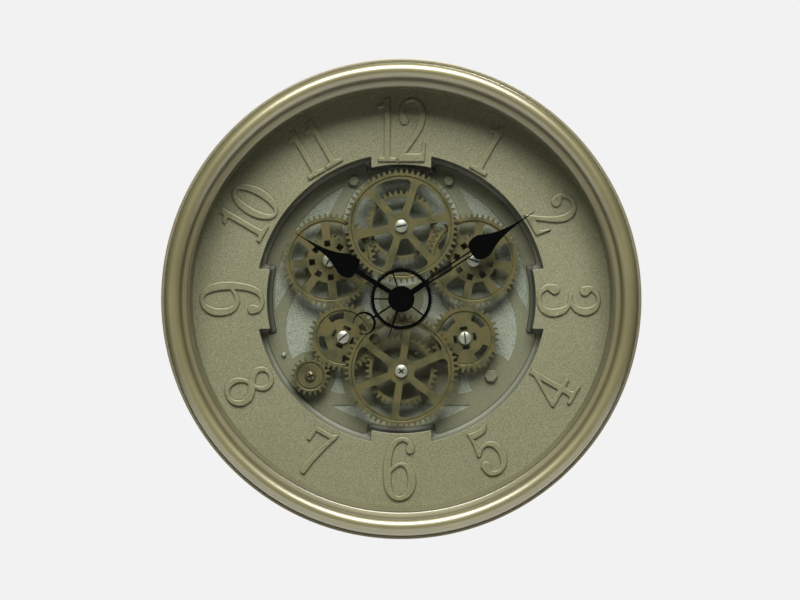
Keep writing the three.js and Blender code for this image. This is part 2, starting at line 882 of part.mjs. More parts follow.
function crossScrew(place, gearFront, headRadius, slotAngle) {
  const seat = gearFront + 2 * fit;
  const front = seat + screwHeadHeight;
  return cut(
    screwBlank(place, seat, headRadius),
    driverSlot(place, front, headRadius, slotAngle),
    driverSlot(place, front, headRadius, slotAngle + 90),
  );
}

function hexBolt(place, headRadius) {
  const back = skeletonFront + fit;
  const front = back + boltHeadHeight;
  const hexagon = (radius) => arc(radius, Math.PI / 6, Math.PI * 2 + Math.PI / 6, 6).slice(1);
  const head = extrude(hexagon(headRadius), [], back, front);
  const crown = turned([
    [0, back - 1], [headRadius, back - 1], [headRadius, front - boltHeadRound],
    [headRadius - boltHeadRound, front], [0, front],
  ]);
  const rounded = geometryOf(manifoldOf(head).intersect(manifoldOf(crown)));
  return join(rounded, disc(boltShank, front - boltLength, back + 1)).translate(place.x, place.y, 0);
}

function platePin() {
  const back = skeletonFront + fit;
  const dome = arc(pinRadius, 0, Math.PI / 2, 3).map((point) => [point.x, point.y + back]);
  return turned([
    [0, basePlateBack], [pinShank, basePlateBack], [pinShank, back],
    ...dome.slice(0, -1), [0, back + pinRadius],
  ], pinPlace);
}

function coverScrew(place) {
  const back = fit;
  return turned([
    [0, back], [coverScrewHead, back], [coverScrewHead, back + coverScrewHeadHeight],
    [coverScrewShank, back + coverScrewHeadHeight], [coverScrewShank, back + coverScrewLength],
    [0, back + coverScrewLength],
  ], place);
}

// A toothed rim at full thickness round a web that is recessed at the front.
function rimmedGear(place, outline, back, rim, holes) {
  const front = back + gearThickness;
  const toothed = extrude(outline, [circle(rim)], back, front);
  const web = extrude(circle(rim + webOverlap), holes, back, front - webRecess);
  return join(toothed, web).translate(place.x, place.y, 0);
}

function sleeve(place, back, front) {
  const inner = spindleRadius + running;
  const outer = inner + sleeveWall;
  return turned([[outer, back], [outer, front], [inner, front], [inner, back]], place);
}

function frontGear(place, firstTooth, spokeAngle) {
  const windows = spokeWindows(
    frontSpokes, spokeAngle + 180 / frontSpokes, frontWindowInner, frontWindowOuter, frontHalfSpoke,
    frontWindowCorner,
  );
  const holes = [...windows, circle(spindleRadius + running)];
  const outline = toothOutline(frontTeeth, frontModule, firstTooth, wideRoot);
  const wheel = rimmedGear(place, outline, frontGearBack, frontRim, holes);
  return join(wheel, sleeve(place, meshBack, frontGearBack + 1));
}

function carrierGear(place, firstTooth, spokeAngle) {
  const windows = spokeWindows(
    frontSpokes, spokeAngle + 180 / frontSpokes, carrierWindowInner, carrierWindowOuter, carrierHalfSpoke,
    carrierWindowCorner,
  );
  const bore = circle(spindleRadius + running + sleeveWall + fit);
  const outline = toothOutline(carrierTeeth, toothModule, firstTooth, toothRoot);
  return extrude(outline, [...windows, bore], meshBack, meshFront).translate(place.x, place.y, 0);
}

function upperGear(place, firstTooth, windowAngle, squareAngle) {
  const holes = [
    ...spokeWindows(
      upperWindows, windowAngle, upperWindowInner, upperWindowOuter, upperHalfSpoke, upperWindowCorner,
    ),
    ...slotRing(upperWindows, squareAngle, upperSquareRadius, upperSquare, upperSquare),
    circle(spindleRadius + running),
  ];
  const outline = toothOutline(upperTeeth, toothModule, firstTooth, toothRoot);
  const wheel = rimmedGear(place, outline, meshBack, upperRim, holes);
  return join(wheel, sleeve(place, pinionBack, meshBack + 1));
}

function rearPinion(place, windowAngle) {
  const windows = spokeWindows(
    pinionWindows, windowAngle, pinionWindowInner, pinionWindowOuter, pinionHalfSpoke, pinionWindowCorner,
  );
  const bore = circle(spindleRadius + running + sleeveWall + fit);
  const outline = toothOutline(rearPinionTeeth, toothModule, windowAngle, wideRoot);
  return extrude(outline, [...windows, bore], pinionBack, pinionFront).translate(place.x, place.y, 0);
}

function lowerGear(place, firstTooth, windowAngle, slotAngle) {
  const holes = [
    ...spokeWindows(
      lowerWindows, windowAngle, lowerWindowInner, lowerWindowOuter, lowerHalfSpoke, lowerWindowCorner,
    ),
    ...slotRing(lowerWindows, slotAngle, lowerSlotRadius, lowerSlotHeight, lowerSlotWidth),
    circle(spindleRadius + running),
  ];
  const outline = toothOutline(lowerTeeth, toothModule, firstTooth, toothRoot);
  return rimmedGear(place, outline, meshBack, lowerRim, holes);
}

function driveGear() {
  const outline = toothOutline(driveTeeth, toothModule, driveWheel.tooth, toothRoot);
  return rimmedGear(driveWheel.place, outline, meshBack, driveRim, [circle(spindleRadius + fit)]);
}

// A hand's leaf from its neck over a round bulb to a fine tip, drawn along +X.
function leafOutline(start, half, neck, bulb, bulbHalf, length) {
  const path = new THREE.Path();
  path.moveTo(start, half);
  path.lineTo(neck, half);
  path.quadraticCurveTo(neck, bulbHalf, bulb, bulbHalf);
  path.bezierCurveTo(bulb + leafShoulder, bulbHalf, bulb + leafWaist, leafWaistHalf, length, tipHalf);
  const upper = path.getPoints(7);
  const lower = upper.map((point) => new THREE.Vector2(point.x, -point.y)).reverse();
  return [...upper, ...lower];
}

function hourHand() {
  const leaf = leafOutline(0, hourShaftHalf, hourNeck, hourBulb, hourBulbHalf, hourHandLength);
  const front = hourHandBack + handThickness;
  const hand = join(extrude(leaf, [], hourHandBack, front), disc(hourHubRadius, hourHandBack, front));
  const bore = disc(hourPipeRadius + fit, hourHandBack - 1, front + 1);
  return cut(hand, bore).rotateZ(radians(hourHandAngle));
}

function minuteHand() {
  const front = minuteHandBack + handThickness;
  const leaf = leafOutline(0, minuteShaftHalf, minuteNeck, minuteBulb, minuteBulbHalf, minuteHandLength);
  const slotMiddle = new THREE.Vector2((minuteSlotFrom + minuteNeck) / 2, 0);
  const slotLength = minuteNeck - minuteSlotFrom;
  const slot = block(slotLength, 2 * minuteSlotHalf, minuteHandBack - 1, front + 1, slotMiddle);
  const tailLength = crescentDistance - crescentInner;
  const tail = block(tailLength, 2 * tailHalf, minuteHandBack, front, new THREE.Vector2(-tailLength / 2, 0));
  const hand = join(
    extrude(leaf, [], minuteHandBack, front),
    disc(minuteHubRadius, minuteHandBack, front),
    tail,
    crescent(minuteHandBack, front),
  );
  const bore = disc(minutePipeRadius + fit, minuteHandBack - 1, front + 1);
  return cut(hand, slot, bore).rotateZ(radians(minuteHandAngle));
}

// The open ring at the end of the minute hand's tail, thickest toward the hub.
function crescent(back, front) {
  const middle = new THREE.Vector2(-crescentDistance, 0);
  const from = radians(crescentGapTo);
  const to = radians(crescentGapFrom + 360);
  const outer = arc(crescentRadius, from, to, 20);
  const aside = new THREE.Vector2(crescentOffset, 0);
  const inner = arc(crescentInner, to, from, 20).map((point) => point.sub(aside));
  return extrude([...outer, ...inner].map((point) => point.add(middle)), [], back, front);
}

function secondsWheel() {
  const front = secondsWheelBack + handThickness;
  const teeth = [];
  for (let i = 0; i < secondsWheelTeeth; i += 1) {
    const middle = (2 * Math.PI * i) / secondsWheelTeeth;
    teeth.push(polar(secondsWheelRadius, middle));
    teeth.push(polar(secondsWheelRoot, middle + Math.PI / secondsWheelTeeth));
  }
  const rim = extrude(teeth, [circle(secondsWheelRim)], secondsWheelBack, front);
  const reach = secondsWheelRim + 1;
  const spokes = [];
  for (let i = 0; i < secondsSpokes; i += 1) {
    const middle = new THREE.Vector2(reach / 2, 0);
    const spoke = block(reach, 2 * secondsSpokeHalf, secondsWheelBack, front, middle);
    spokes.push(spoke.rotateZ(radians(secondsSpokeAngle + (360 * i) / secondsSpokes)));
  }
  const pointer = extrude([
    new THREE.Vector2(0, -secondsPointerHalf), new THREE.Vector2(secondsPointerLength, -secondsPointerTip),
    new THREE.Vector2(secondsPointerLength, secondsPointerTip), new THREE.Vector2(0, secondsPointerHalf),
  ], [], secondsWheelBack, front);
  pointer.rotateZ(radians(secondsSpokeAngle + (360 * secondsPointerSpoke) / secondsSpokes));
  const wheel = join(rim, ...spokes, pointer, disc(secondsHubRadius, secondsWheelBack, front));
  return cut(wheel, disc(secondsArborRadius + fit, secondsWheelBack - 1, front + 1));
}

// Finishes
const gold = [0xc6bb94, 0.34, 0.85];
const caseMetal = [0x8f8a6e, 0.5, 0.6];
const olive = [0x8b896a, 0.62, 0.35];
const darkOlive = [0x5c5b45, 0.6, 0.3];
const gearOlive = [0x8a8768, 0.5, 0.45];
const silver = [0x9da092, 0.45, 0.6];
const bright = [0xd8dad6, 0.25, 0.95];
const black = [0x0c0c0c, 0.6, 0];
const darkPlastic = [0x1c1d1e, 0.55, 0];
const clear = [0xeef3f1, 0.05, 0, 0.15];
const brass = [0xb39a62, 0.4, 0.8];
const cellSkin = [0x3a4147, 0.4, 0.5];

const clock = new THREE.Group();
clock.name = "gear_wall_clock";

function addPiece(name, geometry, [color, roughness, metalness, opacity = 1]) {
  const transparent = opacity < 1;
  const material = new THREE.MeshStandardMaterial({ color, roughness, metalness, opacity, transparent });
  const mesh = new THREE.Mesh(geometry.rotateX(Math.PI / 2), material);
  mesh.name = name;
  clock.add(mesh);
}

addPiece("case_drum", caseDrum(), caseMetal);
addPiece("bezel", bezel(), gold);
addPiece("glass_lens", glassLens(), clear);
addPiece("inner_wall_ring", innerWallRing(), darkOlive);
addPiece("dial_ring", dialRing(), olive);
addPiece("mechanism_tray", mechanismTray(), olive);
addPiece("skeleton_plate", skeletonPlate(), olive);
addPiece("base_plate", basePlate(), silver);
addPiece("back_cover", backCover(), darkPlastic);
addPiece("clock_movement", clockMovement(), darkPlastic);
addPiece("drive_housing", driveHousing(), darkPlastic);
addPiece("bushing_nut", bushingNut(), brass);

addPiece("top_front_gear", frontGear(topWheel.place, topWheel.tooth, topSpokeAngle), gearOlive);
addPiece("top_rear_gear", carrierGear(topWheel.place, topWheel.tooth, topSpokeAngle), gearOlive);
addPiece("bottom_front_gear", frontGear(bottomWheel.place, bottomWheel.tooth, bottomSpokeAngle), gearOlive);
addPiece("bottom_rear_gear", carrierGear(bottomWheel.place, bottomWheel.tooth, bottomSpokeAngle), gearOlive);
addPiece("upper_left_gear", upperGear(
  upperLeft.place, upperLeft.tooth, upperLeftWindow, upperLeftSquare,
), gearOlive);
addPiece("upper_right_gear", upperGear(
  upperRight.place, upperRight.tooth, upperRightWindow, upperRightSquare,
), gearOlive);
addPiece("upper_left_pinion", rearPinion(upperLeft.place, upperLeftWindow), gearOlive);
addPiece("upper_right_pinion", rearPinion(upperRight.place, upperRightWindow), gearOlive);
addPiece("lower_left_gear", lowerGear(
  lowerLeft.place, lowerLeft.tooth, lowerLeftWindow, lowerLeftSlot,
), gearOlive);
addPiece("lower_right_gear", lowerGear(
  lowerRight.place, lowerRight.tooth, lowerRightWindow, lowerRightSlot,
), gearOlive);
addPiece("drive_gear", driveGear(), gearOlive);

addPiece("top_gear_post", gearPost(topWheel.place, meshBack, frontGearFront), brass);
addPiece("bottom_gear_post", gearPost(bottomWheel.place, meshBack, frontGearFront), brass);
addPiece("upper_left_post", gearPost(upperLeft.place, pinionBack, meshFront), brass);
addPiece("upper_right_post", gearPost(upperRight.place, pinionBack, meshFront), brass);
addPiece("lower_left_post", gearPost(lowerLeft.place, meshBack, meshFront), brass);
addPiece("lower_right_post", gearPost(lowerRight.place, meshBack, meshFront), brass);
addPiece("drive_shaft", driveShaft(), bright);

addPiece("top_gear_screw", slottedScrew(topWheel.place, frontGearFront, topSlotAngle), bright);
addPiece("bottom_gear_screw", crossScrew(
  bottomWheel.place, frontGearFront, screwHeadRadius, bottomSlotAngle,
), bright);
addPiece("upper_left_screw", slottedScrew(upperLeft.place, meshFront, upperLeftSlotAngle), bright);
addPiece("upper_right_screw", slottedScrew(upperRight.place, meshFront, upperRightSlotAngle), bright);
addPiece("lower_left_screw", slottedScrew(lowerLeft.place, meshFront, lowerLeftSlotAngle), bright);
addPiece("lower_right_screw", slottedScrew(lowerRight.place, meshFront, lowerRightSlotAngle), bright);
addPiece("drive_gear_screw", crossScrew(driveWheel.place, meshFront, driveScrewHead, driveSlotAngle), brass);

addPiece("upper_left_hex_bolt", hexBolt(upperLeftBolt, upperBoltRadius), olive);
addPiece("upper_right_hex_bolt", hexBolt(upperRightBolt, upperBoltRadius), olive);
addPiece("lower_right_hex_bolt", hexBolt(lowerRightBolt, lowerBoltRadius), olive);
addPiece("plate_pin", platePin(), bright);

addPiece("hour_pipe", pipe(hourPipeRadius, boreBack + fit, hourHandBack + handThickness), brass);
addPiece("minute_pipe", pipe(minutePipeRadius, boreBack + fit, minuteHandBack + handThickness), brass);
addPiece("seconds_arbor", disc(
  secondsArborRadius, boreBack + fit, secondsWheelBack + handThickness + arborTip,
), bright);
addPiece("hour_hand", hourHand(), black);
addPiece("minute_hand", minuteHand(), black);
addPiece("seconds_wheel", secondsWheel(), black);

addPiece("clock_cell", cell(clockHatch.place), cellSkin);
addPiece("drive_cell_upper", cell(new THREE.Vector2(
  driveCellsPlace.x, driveCellsPlace.y + cellRadius + cellClearance,
)), cellSkin);
addPiece("drive_cell_lower", cell(new THREE.Vector2(
  driveCellsPlace.x, driveCellsPlace.y - cellRadius - cellClearance,
)), cellSkin);
addPiece("clock_battery_hatch", hatchDoor(clockHatch), darkPlastic);
addPiece("drive_battery_hatch", hatchDoor(driveHatch), darkPlastic);
addPiece("setting_knob", settingKnob(), darkPlastic);
addPiece("drive_switch", driveSwitch(), black);
coverScrewPlaces().forEach((place, i) => addPiece(`cover_screw_${i + 1}`, coverScrew(place), bright));

export default clock;
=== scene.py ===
import math

import bmesh
import bpy
import numpy as np
from mathutils import Matrix, Vector


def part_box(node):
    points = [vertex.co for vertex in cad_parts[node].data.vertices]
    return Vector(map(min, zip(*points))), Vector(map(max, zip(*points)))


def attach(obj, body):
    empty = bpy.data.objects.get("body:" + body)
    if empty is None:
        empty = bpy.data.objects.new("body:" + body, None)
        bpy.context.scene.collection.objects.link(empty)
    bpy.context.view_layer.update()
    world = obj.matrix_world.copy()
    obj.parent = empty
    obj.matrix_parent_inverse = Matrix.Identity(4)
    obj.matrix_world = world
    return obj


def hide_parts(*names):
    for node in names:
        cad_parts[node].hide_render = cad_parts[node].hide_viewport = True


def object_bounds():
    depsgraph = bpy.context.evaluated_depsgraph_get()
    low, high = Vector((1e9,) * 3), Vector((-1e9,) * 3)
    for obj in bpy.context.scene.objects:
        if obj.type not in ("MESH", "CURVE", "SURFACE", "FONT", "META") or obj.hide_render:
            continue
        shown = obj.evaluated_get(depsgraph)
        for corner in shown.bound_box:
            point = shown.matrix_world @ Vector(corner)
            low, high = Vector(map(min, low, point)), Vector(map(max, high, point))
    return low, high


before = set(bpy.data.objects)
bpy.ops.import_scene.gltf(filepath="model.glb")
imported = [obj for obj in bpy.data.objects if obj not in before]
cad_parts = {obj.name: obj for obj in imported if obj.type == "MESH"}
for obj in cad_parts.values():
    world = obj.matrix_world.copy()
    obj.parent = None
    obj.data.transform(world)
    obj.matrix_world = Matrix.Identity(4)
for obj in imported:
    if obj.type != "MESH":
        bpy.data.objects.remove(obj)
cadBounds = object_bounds()
bpy.context.scene.view_settings.view_transform = "Standard"
millimetre = 0.001
print("frame loaded:", len(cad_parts), "nodes")


# small helpers

def boxOf(node):
    low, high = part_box(node)
    return Vector(low) / millimetre, Vector(high) / millimetre


def centreOf(node):
    low, high = boxOf(node)
    return (low.x + high.x) / 2, (low.z + high.z) / 2


def riseOf(node):
    # height off the wall of a node's back and front
    low, high = boxOf(node)
    return -high.y, -low.y


def link(name, data):
    item = bpy.data.objects.new(name, data)
    bpy.context.scene.collection.objects.link(item)
    return item


def meshOf(name, verts, faces):
    mesh = bpy.data.meshes.new(name)
    mesh.from_pydata(verts, [], faces)
    mesh.update()
    return mesh


def standUp(mesh):
    # shapes are drawn lying down in millimetres and stood up in metres, facing -Y
    mesh.transform(Matrix.Rotation(math.pi / 2, 4, "X") @ Matrix.Scale(millimetre, 4))
    mesh.update()


def meshFrom(item, name):
    # the evaluated shape as a plain mesh; the helper object goes
    graph = bpy.context.evaluated_depsgraph_get()
    mesh = bpy.data.meshes.new_from_object(item.evaluated_get(graph), depsgraph=graph)
    mesh.name = name
    data = item.data
    bpy.data.objects.remove(item)
    if isinstance(data, bpy.types.Curve):
        bpy.data.curves.remove(data)
    return mesh


def turned(mesh, place=(0, 0), rise=0.0, degrees=0.0):
    # a drawn shape turned about its origin and set down at its place
    mesh.transform(Matrix.Translation((*place, rise)) @ Matrix.Rotation(math.radians(degrees), 4, "Z"))
    return mesh


def soften(item, width, segments, angle):
    edges = item.modifiers.new("edges", "BEVEL")
    edges.width, edges.segments = width, segments
    edges.limit_method, edges.angle_limit = "ANGLE", math.radians(angle)


smoothValues = {"merge": 0.0005, "flat": 0.9999, "sharpFrom": 35.0}


def smooth(mesh):
    # doubles merged, faces outward, rounded edges shaded smooth and flat faces kept flat
    work = bmesh.new()
    work.from_mesh(mesh)
    bmesh.ops.remove_doubles(work, verts=work.verts, dist=smoothValues["merge"] * millimetre)
    bmesh.ops.recalc_face_normals(work, faces=work.faces)
    for face in work.faces:
        face.smooth = True
    for edge in work.edges:
        flat = [abs(face.normal.y) > smoothValues["flat"] for face in edge.link_faces]
        bent = edge.calc_face_angle(0) > math.radians(smoothValues["sharpFrom"])
        edge.smooth = not (bent or (len(flat) == 2 and flat[0] != flat[1]))
    work.to_mesh(mesh)
    work.free()


def finishPiece(mesh, name, body, slot, material, nodes=()):
    standUp(mesh)
    smooth(mesh)
    piece = link(name, mesh)
    mesh.materials.clear()
    mesh.materials.append(material)
    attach(piece, body)
    if nodes:
        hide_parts(*nodes)


def polar(radius, degrees, x=0.0, y=0.0):
    angle = math.radians(degrees)
    return x + radius * math.cos(angle), y + radius * math.sin(angle)


def arc(radius, start, end, steps, x=0.0, y=0.0):
    return [polar(radius, start + (end - start) * i / steps, x, y) for i in range(steps + 1)]


def circle(radius, steps):
    return arc(radius, 0, 360, steps)[1:]


def lathe(name, profile, steps=256):
    # profile of (radius, rise); closed on itself unless it starts and ends on the axis
    closed = profile[0][0] > 0
    verts, rings = [], []
    for radius, rise in profile:
        if radius == 0:
            rings.append([len(verts)])
            verts.append((0, 0, rise))
        else:
            rings.append(list(range(len(verts), len(verts) + steps)))
            verts += [(*polar(radius, 360 * i / steps), rise) for i in range(steps)]
    faces = []
    pairs = list(zip(rings, rings[1:])) + ([(rings[-1], rings[0])] if closed else [])
    for lower, upper in pairs:
        for i in range(steps):
            j = (i + 1) % steps
            if len(lower) == 1:
                faces.append((lower[0], upper[j], upper[i]))
            elif len(upper) == 1:
                faces.append((lower[i], lower[j], upper[0]))
            else:
                faces.append((lower[i], lower[j], upper[j], upper[i]))
    return meshOf(name, verts, faces)


def plate(name, loops, back, front, bevel, bevelSteps=2):
    # a flat piece with bevelled edges from closed outlines; inner outlines become holes
    curve = bpy.data.curves.new(name, "CURVE")
    curve.dimensions = "2D"
    curve.fill_mode = "BOTH"
    for loop in loops:
        spline = curve.splines.new("POLY")
        spline.points.add(len(loop) - 1)
        for point, (x, y) in zip(spline.points, loop):
            point.co = (x, y, 0, 1)
        spline.use_cyclic_u = True
    curve.extrude = (front - back) / 2 - bevel
    curve.bevel_depth = bevel
    curve.bevel_resolution = bevelSteps
    curve.offset = -bevel
    return turned(meshFrom(link(name, curve), name), rise=(front + back) / 2)


def joined(name, meshes):
    verts, faces = [], []
    for mesh in meshes:
        start = len(verts)
        verts += [vertex.co[:] for vertex in mesh.vertices]
        faces += [[start + index for index in face.vertices] for face in mesh.polygons]
        bpy.data.meshes.remove(mesh)
    return meshOf(name, verts, faces)


# materials

def shaderNode(owner, kind, **values):
    # a node in a material or the world; a value goes to the input or setting of its name
    node = owner.node_tree.nodes.new(kind)
    for name, value in values.items():
        if name in node.inputs:
            node.inputs[name].default_value = value
        else:
            setattr(node, name, value)
    return node


def wire(owner, source, target):
    owner.node_tree.links.new(source, target)


def newMaterial(name, metallic, roughness=0.5):
    material = bpy.data.materials.new(name)
    material.use_nodes = True
    shader = material.node_tree.nodes["Principled BSDF"]
    shader.inputs["Metallic"].default_value = metallic
    shader.inputs["Roughness"].default_value = roughness
    return material, shader


def noise(material, scale, detail, stretch=(1, 1, 1)):
    position = shaderNode(material, "ShaderNodeTexCoord")
    mapping = shaderNode(material, "ShaderNodeMapping", Scale=stretch)
    texture = shaderNode(material, "ShaderNodeTexNoise", Scale=scale, Detail=detail)
    wire(material, position.outputs["Object"], mapping.inputs["Vector"])
    wire(material, mapping.outputs["Vector"], texture.inputs["Vector"])
    return texture.outputs["Fac"]


def ramp(material, factor, stops):
    # each stop has a position and a colour or a plain value
    node = shaderNode(material, "ShaderNodeValToRGB")
    elements = node.color_ramp.elements
    while len(elements) < len(stops):
        elements.new(0.5)
    for element, (position, colour) in zip(elements, stops):
        element.position = position
        element.color = (*(colour if isinstance(colour, tuple) else (colour,) * 3), 1)
    wire(material, factor, node.inputs["Fac"])
    return node.outputs["Color"]


def blend(material, factor, first, second, mode="MIX"):
    node = shaderNode(material, "ShaderNodeMix", data_type="RGBA", blend_type=mode)
    for socket, value in zip((node.inputs[0], node.inputs[6], node.inputs[7]), (factor, first, second)):
        if isinstance(value, bpy.types.NodeSocket):
            wire(material, value, socket)
        else:
            socket.default_value = value if not isinstance(value, tuple) else (*value, 1)
    return node.outputs[2]


def surface(name, metallic, fields, tone, roughness, relief, wear=None, inputs=None):
    # fields of noise drive the tone, the wear over it, the roughness and the relief
    material, shader = newMaterial(name, metallic)
    made = {label: noise(material, *field) for label, field in fields.items()}
    colour = ramp(material, made[tone[0]], tone[1])
    if wear:
        colour = blend(material, wear[2], colour, ramp(material, made[wear[0]], wear[1]), "MULTIPLY")
    wire(material, colour, shader.inputs["Base Color"])
    if isinstance(roughness, tuple):
        wire(material, ramp(material, made[roughness[0]], roughness[1]), shader.inputs["Roughness"])
    else:
        shader.inputs["Roughness"].default_value = roughness
    emboss = shaderNode(material, "ShaderNodeBump", Strength=relief[1], Distance=relief[2])
    wire(material, made[relief[0]], emboss.inputs["Height"])
    wire(material, emboss.outputs["Normal"], shader.inputs["Normal"])
    for label, value in (inputs or {}).items():
        shader.inputs[label].default_value = value
    return material


paintValues = {"metallic": 0.1, "roughness": 0.55, "vary": 0.08, "grain": 900.0, "drift": 9.0, "bump": 0.12}
plasticValues = {"metallic": 0.0, "roughness": 0.5, "vary": 0.08, "grain": 1100.0, "scuffs": 22.0, "bump": 0.3}


def paint(name, dark, light, **changes):
    # fine-grained satin paint with a broad drift of tone
    values = {**paintValues, **changes}
    rough, vary = values["roughness"], values["vary"]
    return surface(name, values["metallic"], {"grain": (values["grain"], 2), "drift": (values["drift"], 4)},
                   ("grain", [(0.32, dark), (0.68, light)]), ("grain", [(0.3, rough - vary), (0.7, rough + vary)]),
                   ("grain", values["bump"], 0.0003), ("drift", [(0.35, (0.90, 0.90, 0.88)), (0.65, 1.0)], 1.0))


def plastic(name, dark, light, **changes):
    # moulded texture with broad scuffs
    values = {**plasticValues, **changes}
    rough, vary = values["roughness"], values["vary"]
    return surface(name, values["metallic"], {"grain": (values["grain"], 3), "scuffs": (values["scuffs"], 6)},
                   ("grain", [(0.3, dark), (0.7, light)]), ("scuffs", [(0.3, rough - vary), (0.7, rough + vary)]),
                   ("grain", values["bump"], 0.0002), ("scuffs", [(0.45, 0.86), (0.75, 1.0)], 1.0))


def brassMetal(name, dark, light, metallic):
    return surface(name, metallic, {"tarnish": (260, 4)}, ("tarnish", [(0.35, dark), (0.65, light)]), 0.35,
                   ("tarnish", 0.08, 0.0002))


# what painted shade follows: the radius seen from the front, or the height off the wall
byRadius, byHeight = (1, 0, 1), (0, 1, 0)


def paintShadeBy(material, measure, stops):
    # painted shade: the tone is multiplied by a shade that changes with that measure, at stops in millimetres
    shader = material.node_tree.nodes["Principled BSDF"]
    tone = shader.inputs["Base Color"].links[0].from_socket
    position = shaderNode(material, "ShaderNodeTexCoord")
    picked = shaderNode(material, "ShaderNodeVectorMath", operation="MULTIPLY")
    picked.inputs[1].default_value = measure
    distance = shaderNode(material, "ShaderNodeVectorMath", operation="LENGTH")
    wire(material, position.outputs["Object"], picked.inputs[0])
    wire(material, picked.outputs["Vector"], distance.inputs[0])
    low, high = stops[0][0], stops[-1][0]
    share = shaderNode(material, "ShaderNodeMapRange")
    share.inputs["From Min"].default_value = low * millimetre
    share.inputs["From Max"].default_value = high * millimetre
    wire(material, distance.outputs["Value"], share.inputs["Value"])
    shadeTone = ramp(material, share.outputs["Result"], [((at - low) / (high - low), tint) for at, tint in stops])
    wire(material, blend(material, 1.0, tone, shadeTone, "MULTIPLY"), shader.inputs["Base Color"])


def clearGlass():
    material, shader = newMaterial("clear_glass", 0.0, 0.03)
    smears = noise(material, 26, 5, (1, 1, 3))
    shader.inputs["Base Color"].default_value = (0.01, 0.012, 0.011, 1)
    shader.inputs["Alpha"].default_value = 0.08
    wire(material, ramp(material, smears, [(0.4, 0.02), (0.7, 0.09)]), shader.inputs["Roughness"])
    return material


olivePaint = paint("olive_paint", (0.196, 0.194, 0.107), (0.400, 0.395, 0.238), grain=1100.0, bump=0.3)
numeralPaint = paint("numeral_paint", (0.256, 0.250, 0.133), (0.369, 0.360, 0.205), roughness=0.42, bump=0.06)
platePaint = paint("plate_paint", (0.198, 0.202, 0.119), (0.262, 0.268, 0.165), bump=0.2)
wallPaint = paint("wall_paint", (0.158, 0.154, 0.084), (0.242, 0.236, 0.134))
sparklePaint = paint("sparkle_paint", (0.230, 0.258, 0.190), (0.56, 0.61, 0.476), metallic=0.25, grain=1300.0,
                     roughness=0.42, bump=0.4)
trayPaint = paint("tray_paint", (0.20, 0.21, 0.145), (0.33, 0.34, 0.25), grain=1300.0, bump=0.2)
champagneDull = paint("champagne_dull", (0.22, 0.198, 0.118), (0.275, 0.25, 0.155), metallic=0.5, roughness=0.5)
# near-black paint for the painted shade in the bottom of the driver slots
painted_slot_shade = paint("painted_slot_shade", (0.010, 0.009, 0.006), (0.026, 0.024, 0.014), roughness=0.7)

# olive bronze with browner worn patches along the gears
bronze = surface(
    "gear_bronze", 0.35, {"grain": (1800, 2), "patches": (70, 5)},
    ("grain", [(0.3, (0.109, 0.101, 0.039)), (0.7, (0.184, 0.173, 0.070))]),
    ("patches", [(0.3, 0.40), (0.7, 0.56)]), ("grain", 0.12, 0.0002),
    ("patches", [(0.36, (0.66, 0.69, 0.70)), (0.5, 1.0), (0.64, (1.1, 0.95, 0.78))], 0.85))
# bezel: champagne lacquer with soft blotches
champagne = surface(
    "champagne_metal", 0.45, {"fine": (900, 3), "soft": (14, 3)},
    ("soft", [(0.3, (0.205, 0.184, 0.084)), (0.7, (0.25, 0.226, 0.106))]),
    ("fine", [(0.3, 0.4), (0.7, 0.5)]), ("fine", 0.06, 0.0002),
    inputs={"Coat Weight": 1.0, "Coat Roughness": 0.28, "Coat IOR": 1.75})
# cream-grey plated screws, softly brushed
steel = surface(
    "bright_steel", 0.45, {"scratches": (700, 4, (1, 1, 9))},
    ("scratches", [(0.3, (0.33, 0.35, 0.26)), (0.7, (0.47, 0.495, 0.38))]),
    ("scratches", [(0.3, 0.33), (0.7, 0.47)]), ("scratches", 0.1, 0.0001))
black = surface(
    "black_lacquer", 0.0, {"grain": (1500, 2)},
    ("grain", [(0.3, (0.0005, 0.0005, 0.0004)), (0.7, (0.0015, 0.0015, 0.0013))]),
    ("grain", [(0.3, 0.22), (0.7, 0.3)]), ("grain", 0.15, 0.0001), inputs={"Specular IOR Level": 0.04})
brass = brassMetal("brass_metal", (0.36, 0.30, 0.17), (0.50, 0.43, 0.26), 0.9)
agedBrass = brassMetal("aged_brass", (0.11, 0.095, 0.045), (0.19, 0.165, 0.085), 0.5)
darkPlastic = plastic("dark_plastic", (0.035, 0.035, 0.037), (0.06, 0.06, 0.063))
hatchPlastic = plastic("hatch_plastic", (0.065, 0.065, 0.068), (0.10, 0.10, 0.104), roughness=0.42)
cellSkin = plastic("cell_skin", (0.03, 0.04, 0.05), (0.05, 0.06, 0.075), roughness=0.32)
glass = clearGlass()

# painted shade: darkest where a numeral meets the dial, in the tray's creases and at the top of its wall under the
# dial's edge, behind the dial's tabs, and at the bezel's lip and beside the roll
dialFront = riseOf("dial_ring")[1]
paintShadeBy(numeralPaint, byHeight, [(dialFront + 0.54, 0.12), (dialFront + 1.62, 1.0)])
# painted shade along the tray's foot crease and the top of its wall under the dial's edge, lighter on the ledge
paintShadeBy(trayPaint, byHeight, [(26.2, 0.25), (27.6, 0.3), (28.1, 0.8), (28.9, 0.85), (30.2, 0.75), (38.0, 0.7),
                               (40.5, 0.25), (45.0, 0.2)])
# painted shade on the tray behind the dial's tabs
paintShadeBy(trayPaint, byRadius, [(127.0, 0.6), (131.5, 0.3), (133.0, 0.3), (135.5, 1.0)])
# painted shade at the bezel's lip and in the crease beside the roll
paintShadeBy(champagne, byRadius, [(203.4, 0.5), (205.3, 0.6), (206.4, 0.85), (208.6, 0.85), (209.7, 0.5),
                               (211.2, 0.65), (213.0, 1.0)])
print("materials ready")


# camera, light and backdrop

